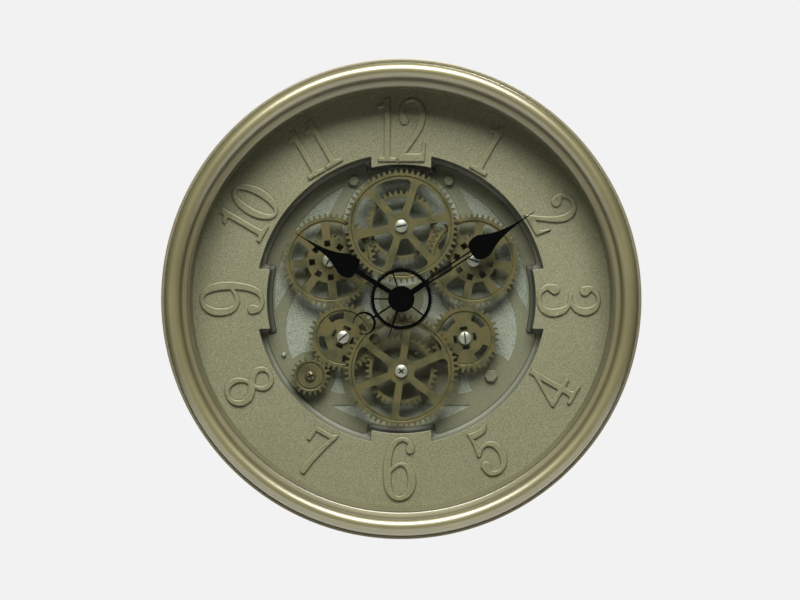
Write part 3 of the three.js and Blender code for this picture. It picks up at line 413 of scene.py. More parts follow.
viewValues = {"distance": 1.6, "lens": 75.6, "sensor": 36.0, "aimRight": 1.24, "aimDown": 0.95, "clip": 50.0}
camera = link("camera", bpy.data.cameras.new("camera"))
camera.data.lens = viewValues["lens"]
camera.data.sensor_width = viewValues["sensor"]
camera.data.clip_end = viewValues["clip"]
camera.location = (-viewValues["aimRight"] * millimetre, cadBounds[0][1] - viewValues["distance"],
                   -viewValues["aimDown"] * millimetre)
camera.rotation_euler = (math.pi / 2, 0, 0)
bpy.context.scene.camera = camera

lampAim = Vector((0, -0.04, 0))
lampValues = {
    "overhead": {"at": (0.0, -2.4, 3.12), "size": (3.4, 2.1), "power": 330.0},
    "fill": {"at": (-1.9, -2.3, -0.5), "size": (1.4, 1.4), "power": 4.0},
    "behind": {"at": (0.5, 2.2, 1.95), "size": (1.6, 1.2), "power": 80.0},
}
for name, values in lampValues.items():
    lamp = link(name + "_lamp", bpy.data.lights.new(name + "_lamp", "AREA"))
    lamp.data.shape = "RECTANGLE"
    lamp.data.size, lamp.data.size_y = values["size"]
    lamp.data.energy = values["power"]
    lamp.location = values["at"]
    lamp.rotation_euler = (lampAim - Vector(values["at"])).to_track_quat("-Z", "Y").to_euler()

stageValues = {"tone": 0.888, "speckle": 0.985, "roughness": 0.9, "lit": 0.6, "even": 0.78, "bounce": 0.2,
               "floorBelow": 0.9, "reach": 2.3, "sides": 96}


def floorMaterial(values):
    # pale floor; seen directly it is mostly one even tone, with the object's soft shadow left in it
    material, shader = newMaterial("pale_floor", 0.0, values["roughness"])
    tone, bounce = values["tone"], values["bounce"]
    speckle = ramp(material, noise(material, 60, 2), [(0.3, tone * values["speckle"]), (0.7, tone)])
    rays = shaderNode(material, "ShaderNodeLightPath")
    reflected = blend(material, rays.outputs["Is Glossy Ray"], (bounce,) * 3, speckle)
    wire(material, blend(material, rays.outputs["Is Camera Ray"], reflected, (values["lit"],) * 3),
         shader.inputs["Base Color"])
    share = shaderNode(material, "ShaderNodeMath", operation="MULTIPLY")
    share.inputs[1].default_value = values["even"]
    wire(material, rays.outputs["Is Camera Ray"], share.inputs[0])
    even = shaderNode(material, "ShaderNodeEmission", Color=(tone, tone, tone, 1), Strength=1.0)
    mix = shaderNode(material, "ShaderNodeMixShader")
    wire(material, share.outputs[0], mix.inputs[0])
    wire(material, shader.outputs[0], mix.inputs[1])
    wire(material, even.outputs[0], mix.inputs[2])
    wire(material, mix.outputs[0], material.node_tree.nodes["Material Output"].inputs["Surface"])
    return material


floorRim = [(x, y, -stageValues["floorBelow"]) for x, y in circle(stageValues["reach"], stageValues["sides"])]
floor = link("floor", meshOf("floor", floorRim, [tuple(range(len(floorRim)))]))
floor.data.materials.append(floorMaterial(stageValues))

world = bpy.data.worlds.new("studio")
world.use_nodes = True
bpy.context.scene.world = world
worldValues = {"light": 0.025, "seen": stageValues["tone"]}
sky = world.node_tree.nodes["Background"]
sky.inputs["Color"].default_value = (1, 1, 1, 1)
rays = shaderNode(world, "ShaderNodeLightPath")
seen = shaderNode(world, "ShaderNodeMix")
seen.inputs[2].default_value = worldValues["light"]
seen.inputs[3].default_value = worldValues["seen"]
wire(world, rays.outputs["Is Camera Ray"], seen.inputs[0])
wire(world, seen.outputs[0], sky.inputs["Strength"])
print("camera, light and backdrop ready")


# outlines from rounded shapes
# A shape is a function of x and y: negative inside, in millimetres from its edge.

def discAt(x0, y0, radius):
    return lambda x, y: np.hypot(x - x0, y - y0) - radius


def barAlong(x0, x1, half, y0=0.0):
    # a bar along X with square ends
    return lambda x, y: np.maximum(np.abs(x - (x0 + x1) / 2) - abs(x1 - x0) / 2, np.abs(y - y0) - half)


def toSegment(x, y, start, end):
    # how far along a segment the nearest point lies, and how far away it is
    (x0, y0), (x1, y1) = start, end
    length = max((x1 - x0) ** 2 + (y1 - y0) ** 2, 1e-9)
    along = np.clip(((x - x0) * (x1 - x0) + (y - y0) * (y1 - y0)) / length, 0, 1)
    return along, np.hypot(x - x0 - along * (x1 - x0), y - y0 - along * (y1 - y0))


def brush(knots, steps=14):
    # a stroke whose half width changes smoothly along its knots (x, y, half width)
    points = [knots[0], *knots, knots[-1]]
    samples = []
    for a, b, c, d in zip(points, points[1:], points[2:], points[3:]):
        for i in range(steps):
            t = i / steps
            samples.append([0.5 * (2 * q + (r - p) * t + (2 * p - 5 * q + 4 * r - s) * t * t
                                   + (3 * q - p - 3 * r + s) * t ** 3) for p, q, r, s in zip(a, b, c, d)])
    samples.append(list(knots[-1]))

    def shape(x, y):
        nearest = np.full(x.shape, 1e9)
        for first, last in zip(samples, samples[1:]):
            along, reach = toSegment(x, y, first[:2], last[:2])
            nearest = np.minimum(nearest, reach - (first[2] + along * (last[2] - first[2])))
        return nearest
    return shape


def patch(corners):
    # a filled outline with straight sides
    def shape(x, y):
        reach = np.full(x.shape, 1e9)
        inside = np.zeros(x.shape, bool)
        for (x0, y0), (x1, y1) in zip(corners, corners[1:] + corners[:1]):
            reach = np.minimum(reach, toSegment(x, y, (x0, y0), (x1, y1))[1])
            side = x < (x1 - x0) * (y - y0) / (y1 - y0 if y1 != y0 else 1e-9) + x0
            inside ^= ((y0 > y) != (y1 > y)) & side
        return np.where(inside, -reach, reach)
    return shape


def together(*shapes):
    return lambda x, y: np.minimum.reduce([shape(x, y) for shape in shapes])


def without(shape, *cutters):
    return lambda x, y: np.maximum.reduce([shape(x, y), *[-cutter(x, y) for cutter in cutters]])


def outlinesOf(shape, low, high, step):
    # closed loops where the shape's edge runs, found on a grid of squares
    xs = np.arange(low[0] - 2 * step, high[0] + 3 * step, step)
    ys = np.arange(low[1] - 2 * step, high[1] + 3 * step, step)
    gridX, gridY = np.meshgrid(xs, ys, indexing="ij")
    value = shape(gridX, gridY)
    value[value == 0] = 1e-9
    inside = value < 0
    squares = inside[:-1, :-1].astype(int) + inside[1:, :-1] + inside[1:, 1:] + inside[:-1, 1:]
    spots, links = {}, {}

    def crossing(i, j, k, m):
        key = (i, j, k, m)
        if key not in spots:
            t = value[i, j] / (value[i, j] - value[k, m])
            spots[key] = (xs[i] + t * (xs[k] - xs[i]), ys[j] + t * (ys[m] - ys[j]))
        return key

    for i, j in zip(*np.nonzero((squares > 0) & (squares < 4))):
        edges = [(i, j, i + 1, j), (i + 1, j, i + 1, j + 1), (i, j + 1, i + 1, j + 1), (i, j, i, j + 1)]
        cut = [crossing(*edge) for edge in edges if inside[edge[0], edge[1]] != inside[edge[2], edge[3]]]
        for a, b in zip(cut[::2], cut[1::2]):
            links.setdefault(a, []).append(b)
            links.setdefault(b, []).append(a)
    loops = []
    while links:
        start = next(iter(links))
        loop, previous, here = [], None, start
        while here in links:
            loop.append(spots[here])
            ahead = links.pop(here)
            here, previous = (ahead[0] if ahead[0] != previous else ahead[-1]), here
        loops.append(loop)
    return [loop for loop in loops if len(loop) > 5]


# case, bezel, wall ring and glass

frontRise = -cadBounds[0][1] / millimetre
glassRise = riseOf("glass_lens")

bezelValues = {"outer": 226.7, "rollInner": 210.0, "rollBack": 3.0, "bandFront": 79.2, "bandBack": 78.1, "lip": 203.4,
               "chamfer": 1.6, "glassGap": 0.3, "seat": 208.7, "skirt": 211.7, "skirtBack": 71.0, "steps": 40}


def rollProfile(values):
    # half-round roll, sloping band and a chamfered lip that faces the dial; the small numbers soften corners
    radius = (values["outer"] - values["rollInner"]) / 2
    middle, height = values["outer"] - radius, frontRise - radius
    meet = 180 - math.degrees(math.asin((values["bandFront"] - height) / radius))
    lip, band, chamfer, seat = values["lip"], values["bandBack"], values["chamfer"], values["seat"]
    floor, back = glassRise[1] + values["glassGap"], values["skirtBack"]
    return arc(radius, 0, meet, values["steps"], middle, height) + [
        (lip + chamfer + 0.35, band + 0.08), (lip + chamfer, band - 0.1), (lip + 0.15, band - chamfer),
        (lip, band - chamfer - 0.3), (lip, floor), (seat, floor), (seat, back), (values["skirt"], back),
        (values["outer"], height - values["rollBack"])]


drumValues = {"radius": 230.0, "wall": 3.0, "front": 77.5, "edge": 1.0, "backEdge": 0.6, "ledge": 13.0,
              "ledgeBack": 4.3, "ledgeFront": 7.3}


def drumProfile(values):
    radius, inner, front, edge = values["radius"], values["radius"] - values["wall"], values["front"], values["edge"]
    corner, ledge, low, high = values["backEdge"], inner - values["ledge"], values["ledgeBack"], values["ledgeFront"]
    return [(inner, 0.4), (inner + 0.4, 0), (radius - corner, 0), (radius, corner)] + \
        arc(edge, 0, 90, 6, radius - edge, front - edge) + \
        [(inner + 0.3, front), (inner, front - 0.3), (inner, high), (ledge, high), (ledge, low), (inner, low)]


wallValues = {"radius": 203.4, "wall": 3.0, "foot": 9.6, "footThickness": 2.0, "backEdge": 0.5, "frontEdge": 0.4}


def wallProfile(values):
    back, front = riseOf("inner_wall_ring")
    radius, outer, foot = values["radius"], values["radius"] + values["wall"], values["radius"] + values["foot"]
    ledge, low, high = back + values["footThickness"], values["backEdge"], values["frontEdge"]
    return [(radius, back + low), (radius + low, back), (foot, back), (foot, ledge), (outer, ledge), (outer, front),
            (radius + high, front), (radius, front - high)]


lensValues = {"radius": 208.4, "edge": 0.5}


def lensProfile(values):
    (back, front), radius, edge = glassRise, values["radius"], values["edge"]
    return [(0, back), (radius - edge, back), (radius, back + edge), (radius, front - edge), (radius - edge, front),
            (0, front)]


for name, profile, slot, material, node in (
        ("bezel_roll", rollProfile(bezelValues), "champagne", champagne, "bezel"),
        ("case_shell", drumProfile(drumValues), "case_metal", champagneDull, "case_drum"),
        ("inner_wall", wallProfile(wallValues), "dark_olive", wallPaint, "inner_wall_ring"),
        ("lens", lensProfile(lensValues), "glass", glass, "glass_lens")):
    finishPiece(lathe(name, profile), name, "case", slot, material, [node])
print("case, bezel and glass ready")


# dial, tray and plates

dialValues = {"radius": 214.0, "bevel": 0.6, "opening": 141.8, "tab": 131.1, "tabHalf": 29.3, "corner": 1.6}


def notchedLoop(values, inset=0.0, corner=None):
    # a circle with four tabs that reach inward, all corners softened
    opening, tab = values["opening"] - inset, values["tab"] - inset
    half, soft = values["tabHalf"] + inset, values["corner"] if corner is None else corner
    tabEnd, openEnd = math.degrees(math.asin(half / tab)), math.degrees(math.asin(half / opening))
    tabPull, openPull = math.degrees(soft / tab), math.degrees(soft / opening)
    points = []

    def bend(before, at, after):
        for t in (i / 6 for i in range(1, 6)):
            points.append(tuple((1 - t) ** 2 * a + 2 * t * (1 - t) * b + t * t * c
                                for a, b, c in zip(before, at, after)))

    def side(first, last, after):
        # a straight side with a softened corner at each end
        run = Vector(last) - Vector(first)
        step = run * (min(soft, run.length * 0.45) / run.length)
        near, far = tuple(Vector(first) + step), tuple(Vector(last) - step)
        bend(points[-1], first, near)
        points.extend([near, far])
        bend(far, last, after)

    for middle in (0, 90, 180, 270):
        points += arc(tab, middle - tabEnd + tabPull, middle + tabEnd - tabPull, 24)
        side(polar(tab, middle + tabEnd), polar(opening, middle + openEnd),
             polar(opening, middle + openEnd + openPull))
        points += arc(opening, middle + openEnd + openPull, middle + 90 - openEnd - openPull, 40)
        side(polar(opening, middle + 90 - openEnd), polar(tab, middle + 90 - tabEnd),
             polar(tab, middle + 90 - tabEnd + tabPull))
    return points


dialPlate = plate("dial_plate", [circle(dialValues["radius"], 256), notchedLoop(dialValues)], *riseOf("dial_ring"),
                  dialValues["bevel"])
finishPiece(dialPlate, "dial_plate", "case", "olive", olivePaint, ["dial_ring"])

trayValues = {"radius": 218.0, "wall": 1.8, "setback": 0.8, "lean": 1.6, "ledge": 4.0, "lip": 0.4, "foot": 7.6,
              "front": 45.5, "back": 26.2, "ledgeTop": 28.8, "ledgeLow": 28.0, "corner": 3.2, "ledgeCorner": 4.2}


def trayMesh(values):
    wall, setback, lean, radius = values["wall"], values["setback"], values["lean"], values["radius"]
    front, back, foot = values["front"], values["back"], values["foot"]
    ledge, top, low, soft = values["ledge"], values["ledgeTop"], values["ledgeLow"], values["ledgeCorner"]

    def ring(reach, rise):
        return [(*(Vector(point).normalized() * reach), rise) for point in notchedLoop(dialValues)]

    def notched(inset, rise, corner=values["corner"]):
        return [(*point, rise) for point in notchedLoop(dialValues, inset, corner)]

    # the section's corners, back to front and back again; the small numbers soften them
    rings = [
        ring(radius, foot), ring(radius, front), notched(-setback - 0.8, front), notched(-setback, front - 0.8),
        notched(lean - 0.9, top + 1.1), notched(lean - 0.3, top + 0.35), notched(lean + 0.5, top),
        notched(ledge - 0.6, low + 0.1, soft), notched(ledge, low - 0.4, soft),
        notched(ledge + values["lip"], back, soft), notched(lean - wall, back), notched(-setback - wall, front - wall),
        ring(radius - wall, front - wall), ring(radius - wall, foot)]
    count = len(rings[0])
    faces = []
    for i in range(len(rings)):
        here, there = i * count, (i + 1) % len(rings) * count
        faces += [(here + j, here + (j + 1) % count, there + (j + 1) % count, there + j) for j in range(count)]
    return meshOf("tray", [point for loop in rings for point in loop], faces)


finishPiece(trayMesh(trayValues), "pressed_tray", "case", "olive", trayPaint, ["mechanism_tray"])

# Numerals are raised strokes, each drawn upright in its own millimetres: x from its middle, y from its foot.

def one(x, foot, tip, half=3.2):
    # stem, bracketed foot and slanted flag
    left, right = x - half, x + half
    base = patch([(x - 9.0, foot), (x + 9.4, foot), (x + 9.6, foot + 4.2), (right + 0.4, foot + 5.0),
                  (right, foot + 7.5), (left, foot + 7.5), (left - 0.6, foot + 5.0), (x - 9.0, foot + 4.4)])
    flag = patch([(left - 6.8, tip - 11.3), (left - 6.4, tip - 7.2), (left - 1.0, tip - 5.0), (right - 2.2, tip + 0.4),
                  (right, tip), (right, tip - 12.0), (left, tip - 12.0), (left - 0.4, tip - 10.3)])
    return together(barAlong(left, right, (tip - foot) / 2, (tip + foot) / 2), base, flag)


def oval(x0, y0, wide, high):
    return lambda x, y: (np.hypot((x - x0) / wide, (y - y0) / high) - 1) * min(wide, high)


# the numerals by hour: the radius of the foot on the dial, and the shape
numerals = {
    12: (133.6, together(one(-13.7, 0.0, 62.6, 3.3), brush([(2.9, 40.3, 4.5), (0.6, 46.5, 2.9), (0.6, 52.5, 2.5),
        (4.3, 58.3, 2.2), (11, 60.4, 2.2), (17.3, 57.4, 2.7), (20.5, 50.5, 3.3), (20.6, 43, 3.5), (18.6, 35, 3.4),
        (14.2, 26.5, 3.1), (8, 17, 2.7), (2.4, 9, 2.3), (-1.5, 3.2, 2.0)]), patch([(-3.8, 0), (22.8, 0), (24, 19.5),
        (20.6, 19.2), (19.2, 9.4), (17.5, 8.6), (2.5, 8.6)]))),
    1: (146.3, one(2.0, -2.3, 48.4)),
    2: (146.3, together(brush([(-6.6, 31.8, 5.2), (-9.6, 38, 2.9), (-6.2, 43.4, 2.4), (0.5, 46.1, 2.2),
        (7.5, 43.6, 2.8), (11.1, 37, 3.6), (10.6, 29.5, 3.7), (6.6, 20.5, 3.2), (0.4, 11.5, 2.7), (-5, 4.5, 2.2),
        (-9.4, -0.2, 1.4)]), patch([(-13.2, -1.7), (12.4, -1.7), (15, 13.6), (12.6, 14.2), (10.8, 7.0), (9.5, 5.6),
        (-6.4, 5.6), (-8.5, 3.4)]))),
    3: (133.6, together(brush([(-7.7, 45.3, 5.2), (-9.9, 51.4, 2.9), (-5.6, 56.6, 2.5), (1.5, 58.6, 2.3),
        (8.6, 55.3, 3.3), (12.1, 47.5, 4.2), (10.9, 39.5, 3.8), (6.6, 33.6, 2.5), (0.5, 31.4, 2.0),
        (-3.6, 31.4, 2.2)]), brush([(-1.0, 30.8, 2.0), (6.2, 29.3, 2.4), (11.2, 23.5, 3.7), (13.2, 14.5, 4.3),
        (11.0, 6.0, 3.6), (5.0, 1.3, 2.5), (-2.5, 0.9, 2.3), (-8.6, 3.8, 2.8), (-11.6, 9.6, 3.4),
        (-9.5, 16.0, 5.3)]))),
    4: (196.0, without(together(patch([(5.4, 52.5), (2.9, 52.5), (-17.6, 17.6), (-17.6, 14.3), (13.6, 14.3),
        (14.0, 20.3), (5.4, 19.8)]), barAlong(-0.7, 5.4, 24.5, 27.5), patch([(-7.3, 1.6), (13.0, 1.6), (13.2, 5.2),
        (6.2, 6.0), (5.4, 8.5), (-0.7, 8.5), (-1.4, 6.0), (-7.5, 5.6)])), patch([(-0.8, 38.5), (-0.8, 19.8),
        (-11.0, 19.8)]))),
    5: (196.0, together(brush([(-10.6, 26.3, 2.3), (-6.3, 30.0, 2.2), (-0.5, 32.0, 2.3), (5.7, 29.8, 3.1),
        (9.3, 23.8, 3.6), (9.8, 16, 3.6), (7.0, 8.2, 3.1), (1.5, 3.6, 2.7), (-4.5, 3.0, 2.6), (-9.6, 6.4, 3.4),
        (-9.9, 13.6, 5.1)]), brush([(-11.0, 27, 2.0), (-9.2, 36, 1.8), (-8.8, 47, 1.9)]), patch([(-10.6, 50.8),
        (-7, 49.3), (-2, 48.4), (4, 48.7), (9, 50.3), (11.8, 51), (10.7, 47.2), (7.6, 43.6), (3, 41.7), (-7, 41.7),
        (-10.6, 44)]))),
    6: (197.0, brush([(8.6, 50.1, 4.5), (9.2, 55.2, 3.2), (5.5, 59.2, 2.6), (0, 60.3, 2.5), (-6.5, 56.8, 3.0),
        (-10.8, 49.5, 3.4), (-13, 40, 3.9), (-13.8, 30, 4.2), (-13.6, 20, 4.1), (-12, 11, 3.6), (-8, 4.8, 3.0),
        (-2, 2.7, 2.7), (4.5, 5.1, 3.2), (9.0, 11.5, 3.9), (10.4, 20, 4.2), (9, 28, 3.9), (5.2, 34, 2.8),
        (-0.5, 36.2, 2.2), (-6, 33.7, 2.0), (-10.2, 29.5, 1.6)])),
    7: (196.0, together(patch([(-10.8, 49), (-7, 48.2), (8, 48.2), (12.5, 50.5), (14, 50), (13.3, 45), (11, 42.8),
        (-7.2, 42.8), (-7.5, 33.4), (-8.6, 31.4), (-11, 31.4), (-12.3, 33)]), brush([(11, 45.5, 2.2), (8.6, 38.5, 2.5),
        (5.9, 30, 2.9), (3.4, 21, 3.2), (1.6, 12, 3.4), (0.8, 3.4, 3.3)]))),
    8: (196.0, brush([(9.6, 19, 3.6), (5, 24.5, 3.7), (-0.5, 28, 3.6), (-6.5, 32.5, 3.4), (-10.2, 39.5, 3.0),
        (-7.5, 46.2, 2.6), (-0.8, 48.5, 2.1), (6, 46, 2.7), (8.8, 39.5, 2.9), (6.3, 33.0, 2.5), (0.3, 28.8, 2.0),
        (-6.7, 24.8, 2.3), (-11.2, 18.5, 2.9), (-11.9, 11.5, 3.1), (-8.5, 4.9, 2.7), (-1, 2.3, 2.3), (6, 4.7, 2.9),
        (10.3, 11.5, 3.4), (9.6, 19, 3.6)])),
    9: (133.6, brush([(-10.0, 11.4, 5.0), (-9.6, 5.6, 3.2), (-5.0, 2.4, 2.4), (0.6, 2.4, 2.4), (6.0, 5.0, 3.1),
        (9.6, 11, 3.5), (11.9, 20, 3.7), (13.1, 31.5, 4.1), (12.5, 43, 4.4), (10.1, 52.3, 3.9), (5.6, 58.8, 2.9),
        (-0.6, 60.7, 2.3), (-7.2, 57.8, 3.2), (-11.5, 51, 4.0), (-12.7, 43, 4.0), (-11.5, 34.5, 3.6),
        (-7.6, 28.5, 2.9), (-2, 26.1, 2.6), (4, 27.6, 2.1), (9.2, 31.4, 1.6)])),
    10: (146.3, together(one(-12.8, 0.2, 49.6), without(oval(10.8, 24.5, 14.2, 25.0), oval(10.8, 24.4, 6.3, 20.8)))),
    11: (146.3, together(one(-10.9, -1.4, 49.0), one(9.1, -1.4, 49.0))),
}
reliefValues = {"sunk": 1.2, "raised": 2.0, "edge": 1.5, "edgeSteps": 3, "grid": 0.4, "from": (-27, -4), "to": (27, 66),
                "inward": (4, 5, 6, 7, 8)}
for hour, (footRadius, shape) in numerals.items():
    name, angle = f"numeral_{hour}", 90 - 30 * hour
    loops = outlinesOf(shape, reliefValues["from"], reliefValues["to"], reliefValues["grid"])
    figure = plate(name, loops, dialFront - reliefValues["sunk"], dialFront + reliefValues["raised"],
                   reliefValues["edge"], reliefValues["edgeSteps"])
    turn = angle + (90 if hour in reliefValues["inward"] else -90)
    finishPiece(turned(figure, polar(footRadius, angle), degrees=turn), name, "case", "olive", numeralPaint)
print("numerals ready")

top, bottom = centreOf("top_gear_post"), centreOf("bottom_gear_post")
upperLeft, upperRight = centreOf("upper_left_post"), centreOf("upper_right_post")
lowerLeft, lowerRight = centreOf("lower_left_post"), centreOf("lower_right_post")
drive = centreOf("drive_shaft")
lowerRightBolt = centreOf("lower_right_hex_bolt")

skeletonValues = {"radius": 150.0, "rim": 125.0, "topWindow": 57.8, "topBand": 8.0, "sideWindow": 64.2,
                  "sideX": 49.9, "sideY": -29.6, "bottomLand": 60.0, "hubLand": 22.0, "postLand": 13.0,
                  "driveLand": 24.3, "boltLand": 22.7, "segmentFrom": 116.6, "segmentTo": 185.0,
                  "bottomSegment": -104.7}


def skeletonShape(values):
    rim = discAt(0, 0, values["rim"])

    def beyond(x0, y0, x1, y1):
        # the side of a straight edge that faces away from the middle
        length = math.hypot(x1 - x0, y1 - y0)
        return lambda x, y: ((y - y0) * (x1 - x0) - (x - x0) * (y1 - y0)) / length

    def both(first, second):
        return lambda x, y: np.maximum(first(x, y), second(x, y))

    def sideWindow(side, posts, corner, cornerLand):
        window = discAt(side * values["sideX"], values["sideY"], values["sideWindow"])
        lands = [discAt(*top, values["topWindow"] + values["topBand"]), discAt(*bottom, values["bottomLand"]),
                 discAt(0, 0, values["hubLand"]), discAt(*posts[0], values["postLand"]),
                 discAt(*posts[1], values["postLand"]), discAt(*corner, cornerLand)]
        return without(window, *lands)

    start = polar(values["rim"], values["segmentFrom"])
    end = polar(values["rim"], values["segmentTo"])
    left = both(rim, beyond(*start, *end))
    right = both(rim, beyond(-end[0], end[1], -start[0], start[1]))
    low = both(rim, lambda x, y: y - values["bottomSegment"])
    windows = [discAt(*top, values["topWindow"]), left, right, low,
               sideWindow(-1, (upperLeft, lowerLeft), drive, values["driveLand"]),
               sideWindow(1, (upperRight, lowerRight), lowerRightBolt, values["boltLand"])]
    return without(discAt(0, 0, values["radius"]), *windows)


sheetValues = {"grid": 0.6, "bevel": 0.3, "paneTuck": 0.4, "paneBeyond": 1.0, "paneBack": 0.4, "paneFront": 1.1,
               "paneBevel": 0.1}
plateBack, plateFront = riseOf("skeleton_plate")
frontShape = skeletonShape(skeletonValues)


def paneShape(x, y):
    # the pale sheet lies close behind the windows, tucked a little under their edges
    disc = np.hypot(x, y) - skeletonValues["rim"] - sheetValues["paneBeyond"]
    return np.maximum(disc, -frontShape(x, y)) - sheetValues["paneTuck"]


reach = skeletonValues["radius"]
loops = outlinesOf(frontShape, (-reach, -reach), (reach, reach), sheetValues["grid"])
finishPiece(plate("front_plate", loops, plateBack, plateFront, sheetValues["bevel"], 1), "front_plate", "case", "olive",
            platePaint, ["skeleton_plate"])
reach = skeletonValues["rim"] + 2 * sheetValues["paneBeyond"]
loops = outlinesOf(paneShape, (-reach, -reach), (reach, reach), sheetValues["grid"])
finishPiece(plate("window_panes", loops, plateBack + sheetValues["paneBack"], plateBack + sheetValues["paneFront"],
                  sheetValues["paneBevel"], 1), "window_panes", "case", "silver_grey", sparklePaint)
print("dial, tray and plates ready")


# gears, grown from one rule in Geometry Nodes

class Tree:
    # a node tree with named inputs; sockets are wired as nodes are added
    def __init__(self, name, counts, sizes):
        self.group = bpy.data.node_groups.new(name, "GeometryNodeTree")
        self.group.interface.new_socket("Geometry", in_out="OUTPUT", socket_type="NodeSocketGeometry")
        self.names = {}
        for kind, labels in (("Int", counts), ("Float", sizes), ("Material", "Material")):
            for label in labels.split(", "):
                socket = self.group.interface.new_socket(label, in_out="INPUT", socket_type="NodeSocket" + kind)
                self.names[label] = socket.identifier
        self.given = self.group.nodes.new("NodeGroupInput")
        self.result = self.group.nodes.new("NodeGroupOutput")

    def __getitem__(self, label):
        return self.given.outputs[label]

    def add(self, kind, inputs=None, **settings):
        node = self.group.nodes.new(kind)
        for label, value in settings.items():
            setattr(node, label, value)
        for label, value in (inputs or {}).items():
            for item in value if isinstance(value, list) else [value]:
                if isinstance(item, bpy.types.NodeSocket):
                    self.group.links.new(item, node.inputs[label])
                else:
                    node.inputs[label].default_value = item
        return node.outputs[0]

    def calc(self, operation, first, *others):
        # further values are taken one after another
        for other in others or (0.0,):
            first = self.add("ShaderNodeMath", {0: first, 1: other}, operation=operation)
        return first

    def between(self, first, last, share):
        return self.calc("ADD", first, self.calc("MULTIPLY", self.calc("SUBTRACT", last, first), share))

    def vector(self, **parts):
        return self.add("ShaderNodeCombineXYZ", parts)

    def onCircle(self, radius, angle):
        return self.vector(X=self.calc("MULTIPLY", radius, self.calc("COSINE", angle)),
                           Y=self.calc("MULTIPLY", radius, self.calc("SINE", angle)))

    def ring(self, radius, points):
        return self.add("GeometryNodeCurvePrimitiveCircle", {"Resolution": points, "Radius": radius})

    def joined(self, *shapes):
        return self.add("GeometryNodeJoinGeometry", {"Geometry": list(shapes)})

    def moved(self, shape, offset, **turns):
        return self.add("GeometryNodeTransform", {"Geometry": shape, "Translation": offset, **turns})

    def placed(self, shape, count, first):
        # copies of a shape, turned evenly round the middle
        spots = self.add("GeometryNodePoints", {"Count": count})
        index = self.add("GeometryNodeInputIndex")
        turn = self.calc("ADD", first, self.calc("DIVIDE", self.calc("MULTIPLY", index, 2 * math.pi), count))
        copies = self.add("GeometryNodeInstanceOnPoints", {"Points": spots, "Instance": shape,
                                                           "Rotation": self.vector(Z=turn)})
        return self.add("GeometryNodeRealizeInstances", {"Geometry": copies})

    def slab(self, curves, thickness, rise=0.0):
        # closed curves filled and given their thickness upward from the rise
        face = self.add("GeometryNodeFillCurve", {"Curve": self.joined(*curves)})
        sides = self.add("GeometryNodeExtrudeMesh", {"Mesh": face, "Offset": self.vector(Z=thickness),
                                                     "Individual": False})
        back = self.add("GeometryNodeFlipFaces", {"Mesh": face})
        whole = self.add("GeometryNodeMergeByDistance", {"Geometry": self.joined(back, sides), "Distance": 0.001})
        return self.moved(whole, self.vector(Z=rise))

    def finish(self, *shapes):
        real = self.add("GeometryNodeRealizeInstances", {"Geometry": self.joined(*shapes)})
        dressed = self.add("GeometryNodeSetMaterial", {"Geometry": real, "Material": self["Material"]})
        self.group.links.new(dressed, self.result.inputs[0])
        return self


def toothedCurve(tree):
    # four points to a tooth: root, tip, tip, root
    index = tree.add("GeometryNodeInputIndex")
    part = tree.calc("MODULO", index, 4)
    tooth = tree.calc("FLOOR", tree.calc("DIVIDE", index, 4))
    onTip = tree.calc("LESS_THAN", tree.calc("ABSOLUTE", tree.calc("SUBTRACT", part, 1.5)), 1)
    side = tree.calc("SUBTRACT", tree.calc("MULTIPLY", tree.calc("GREATER_THAN", part, 1.5), 2), 1)
    radius = tree.between(tree["Root Radius"], tree["Tip Radius"], onTip)
    half = tree.calc("DIVIDE", tree.between(tree["Root Width"], tree["Tip Width"], onTip), 2, radius)
    pitch = tree.calc("DIVIDE", 2 * math.pi, tree["Teeth"])
    angle = tree.calc("ADD", tree["First Tooth"], tree.calc("MULTIPLY", tooth, pitch),
                      tree.calc("MULTIPLY", side, half))
    return tree.add("GeometryNodeSetPosition", {"Geometry": tree.ring(1.0, tree.calc("MULTIPLY", tree["Teeth"], 4)),
                                                "Position": tree.onCircle(radius, angle)})


def windowCurve(tree, along=9):
    # one window between two spokes, its sides parallel to the spokes or radial, corners rounded
    index = tree.add("GeometryNodeInputIndex")
    onInner = tree.calc("GREATER_THAN", index, along - 0.5)
    share = tree.calc("DIVIDE", tree.calc("MODULO", index, along), along - 1)
    share = tree.between(share, tree.calc("SUBTRACT", 1, share), onInner)
    radius = tree.between(tree["Window Outer"], tree["Window Inner"], onInner)
    spokeRadius = tree.between(radius, tree["Window Outer"], tree["Radial Ends"])
    spoke = tree.calc("ARCSINE", tree.calc("DIVIDE", tree["Half Spoke"], spokeRadius))
    reach = tree.calc("SUBTRACT", tree.calc("DIVIDE", math.pi, tree["Windows"]), spoke)
    angle = tree.between(tree.calc("MULTIPLY", reach, -1), reach, share)
    outline = tree.add("GeometryNodeSetPosition", {"Geometry": tree.ring(1.0, 2 * along),
                                                   "Position": tree.onCircle(radius, angle)})
    return tree.add("GeometryNodeFilletCurve", {"Curve": outline, "Count": 3, "Radius": tree["Window Corner"],
                                                "Limit Radius": True}, mode="POLY")


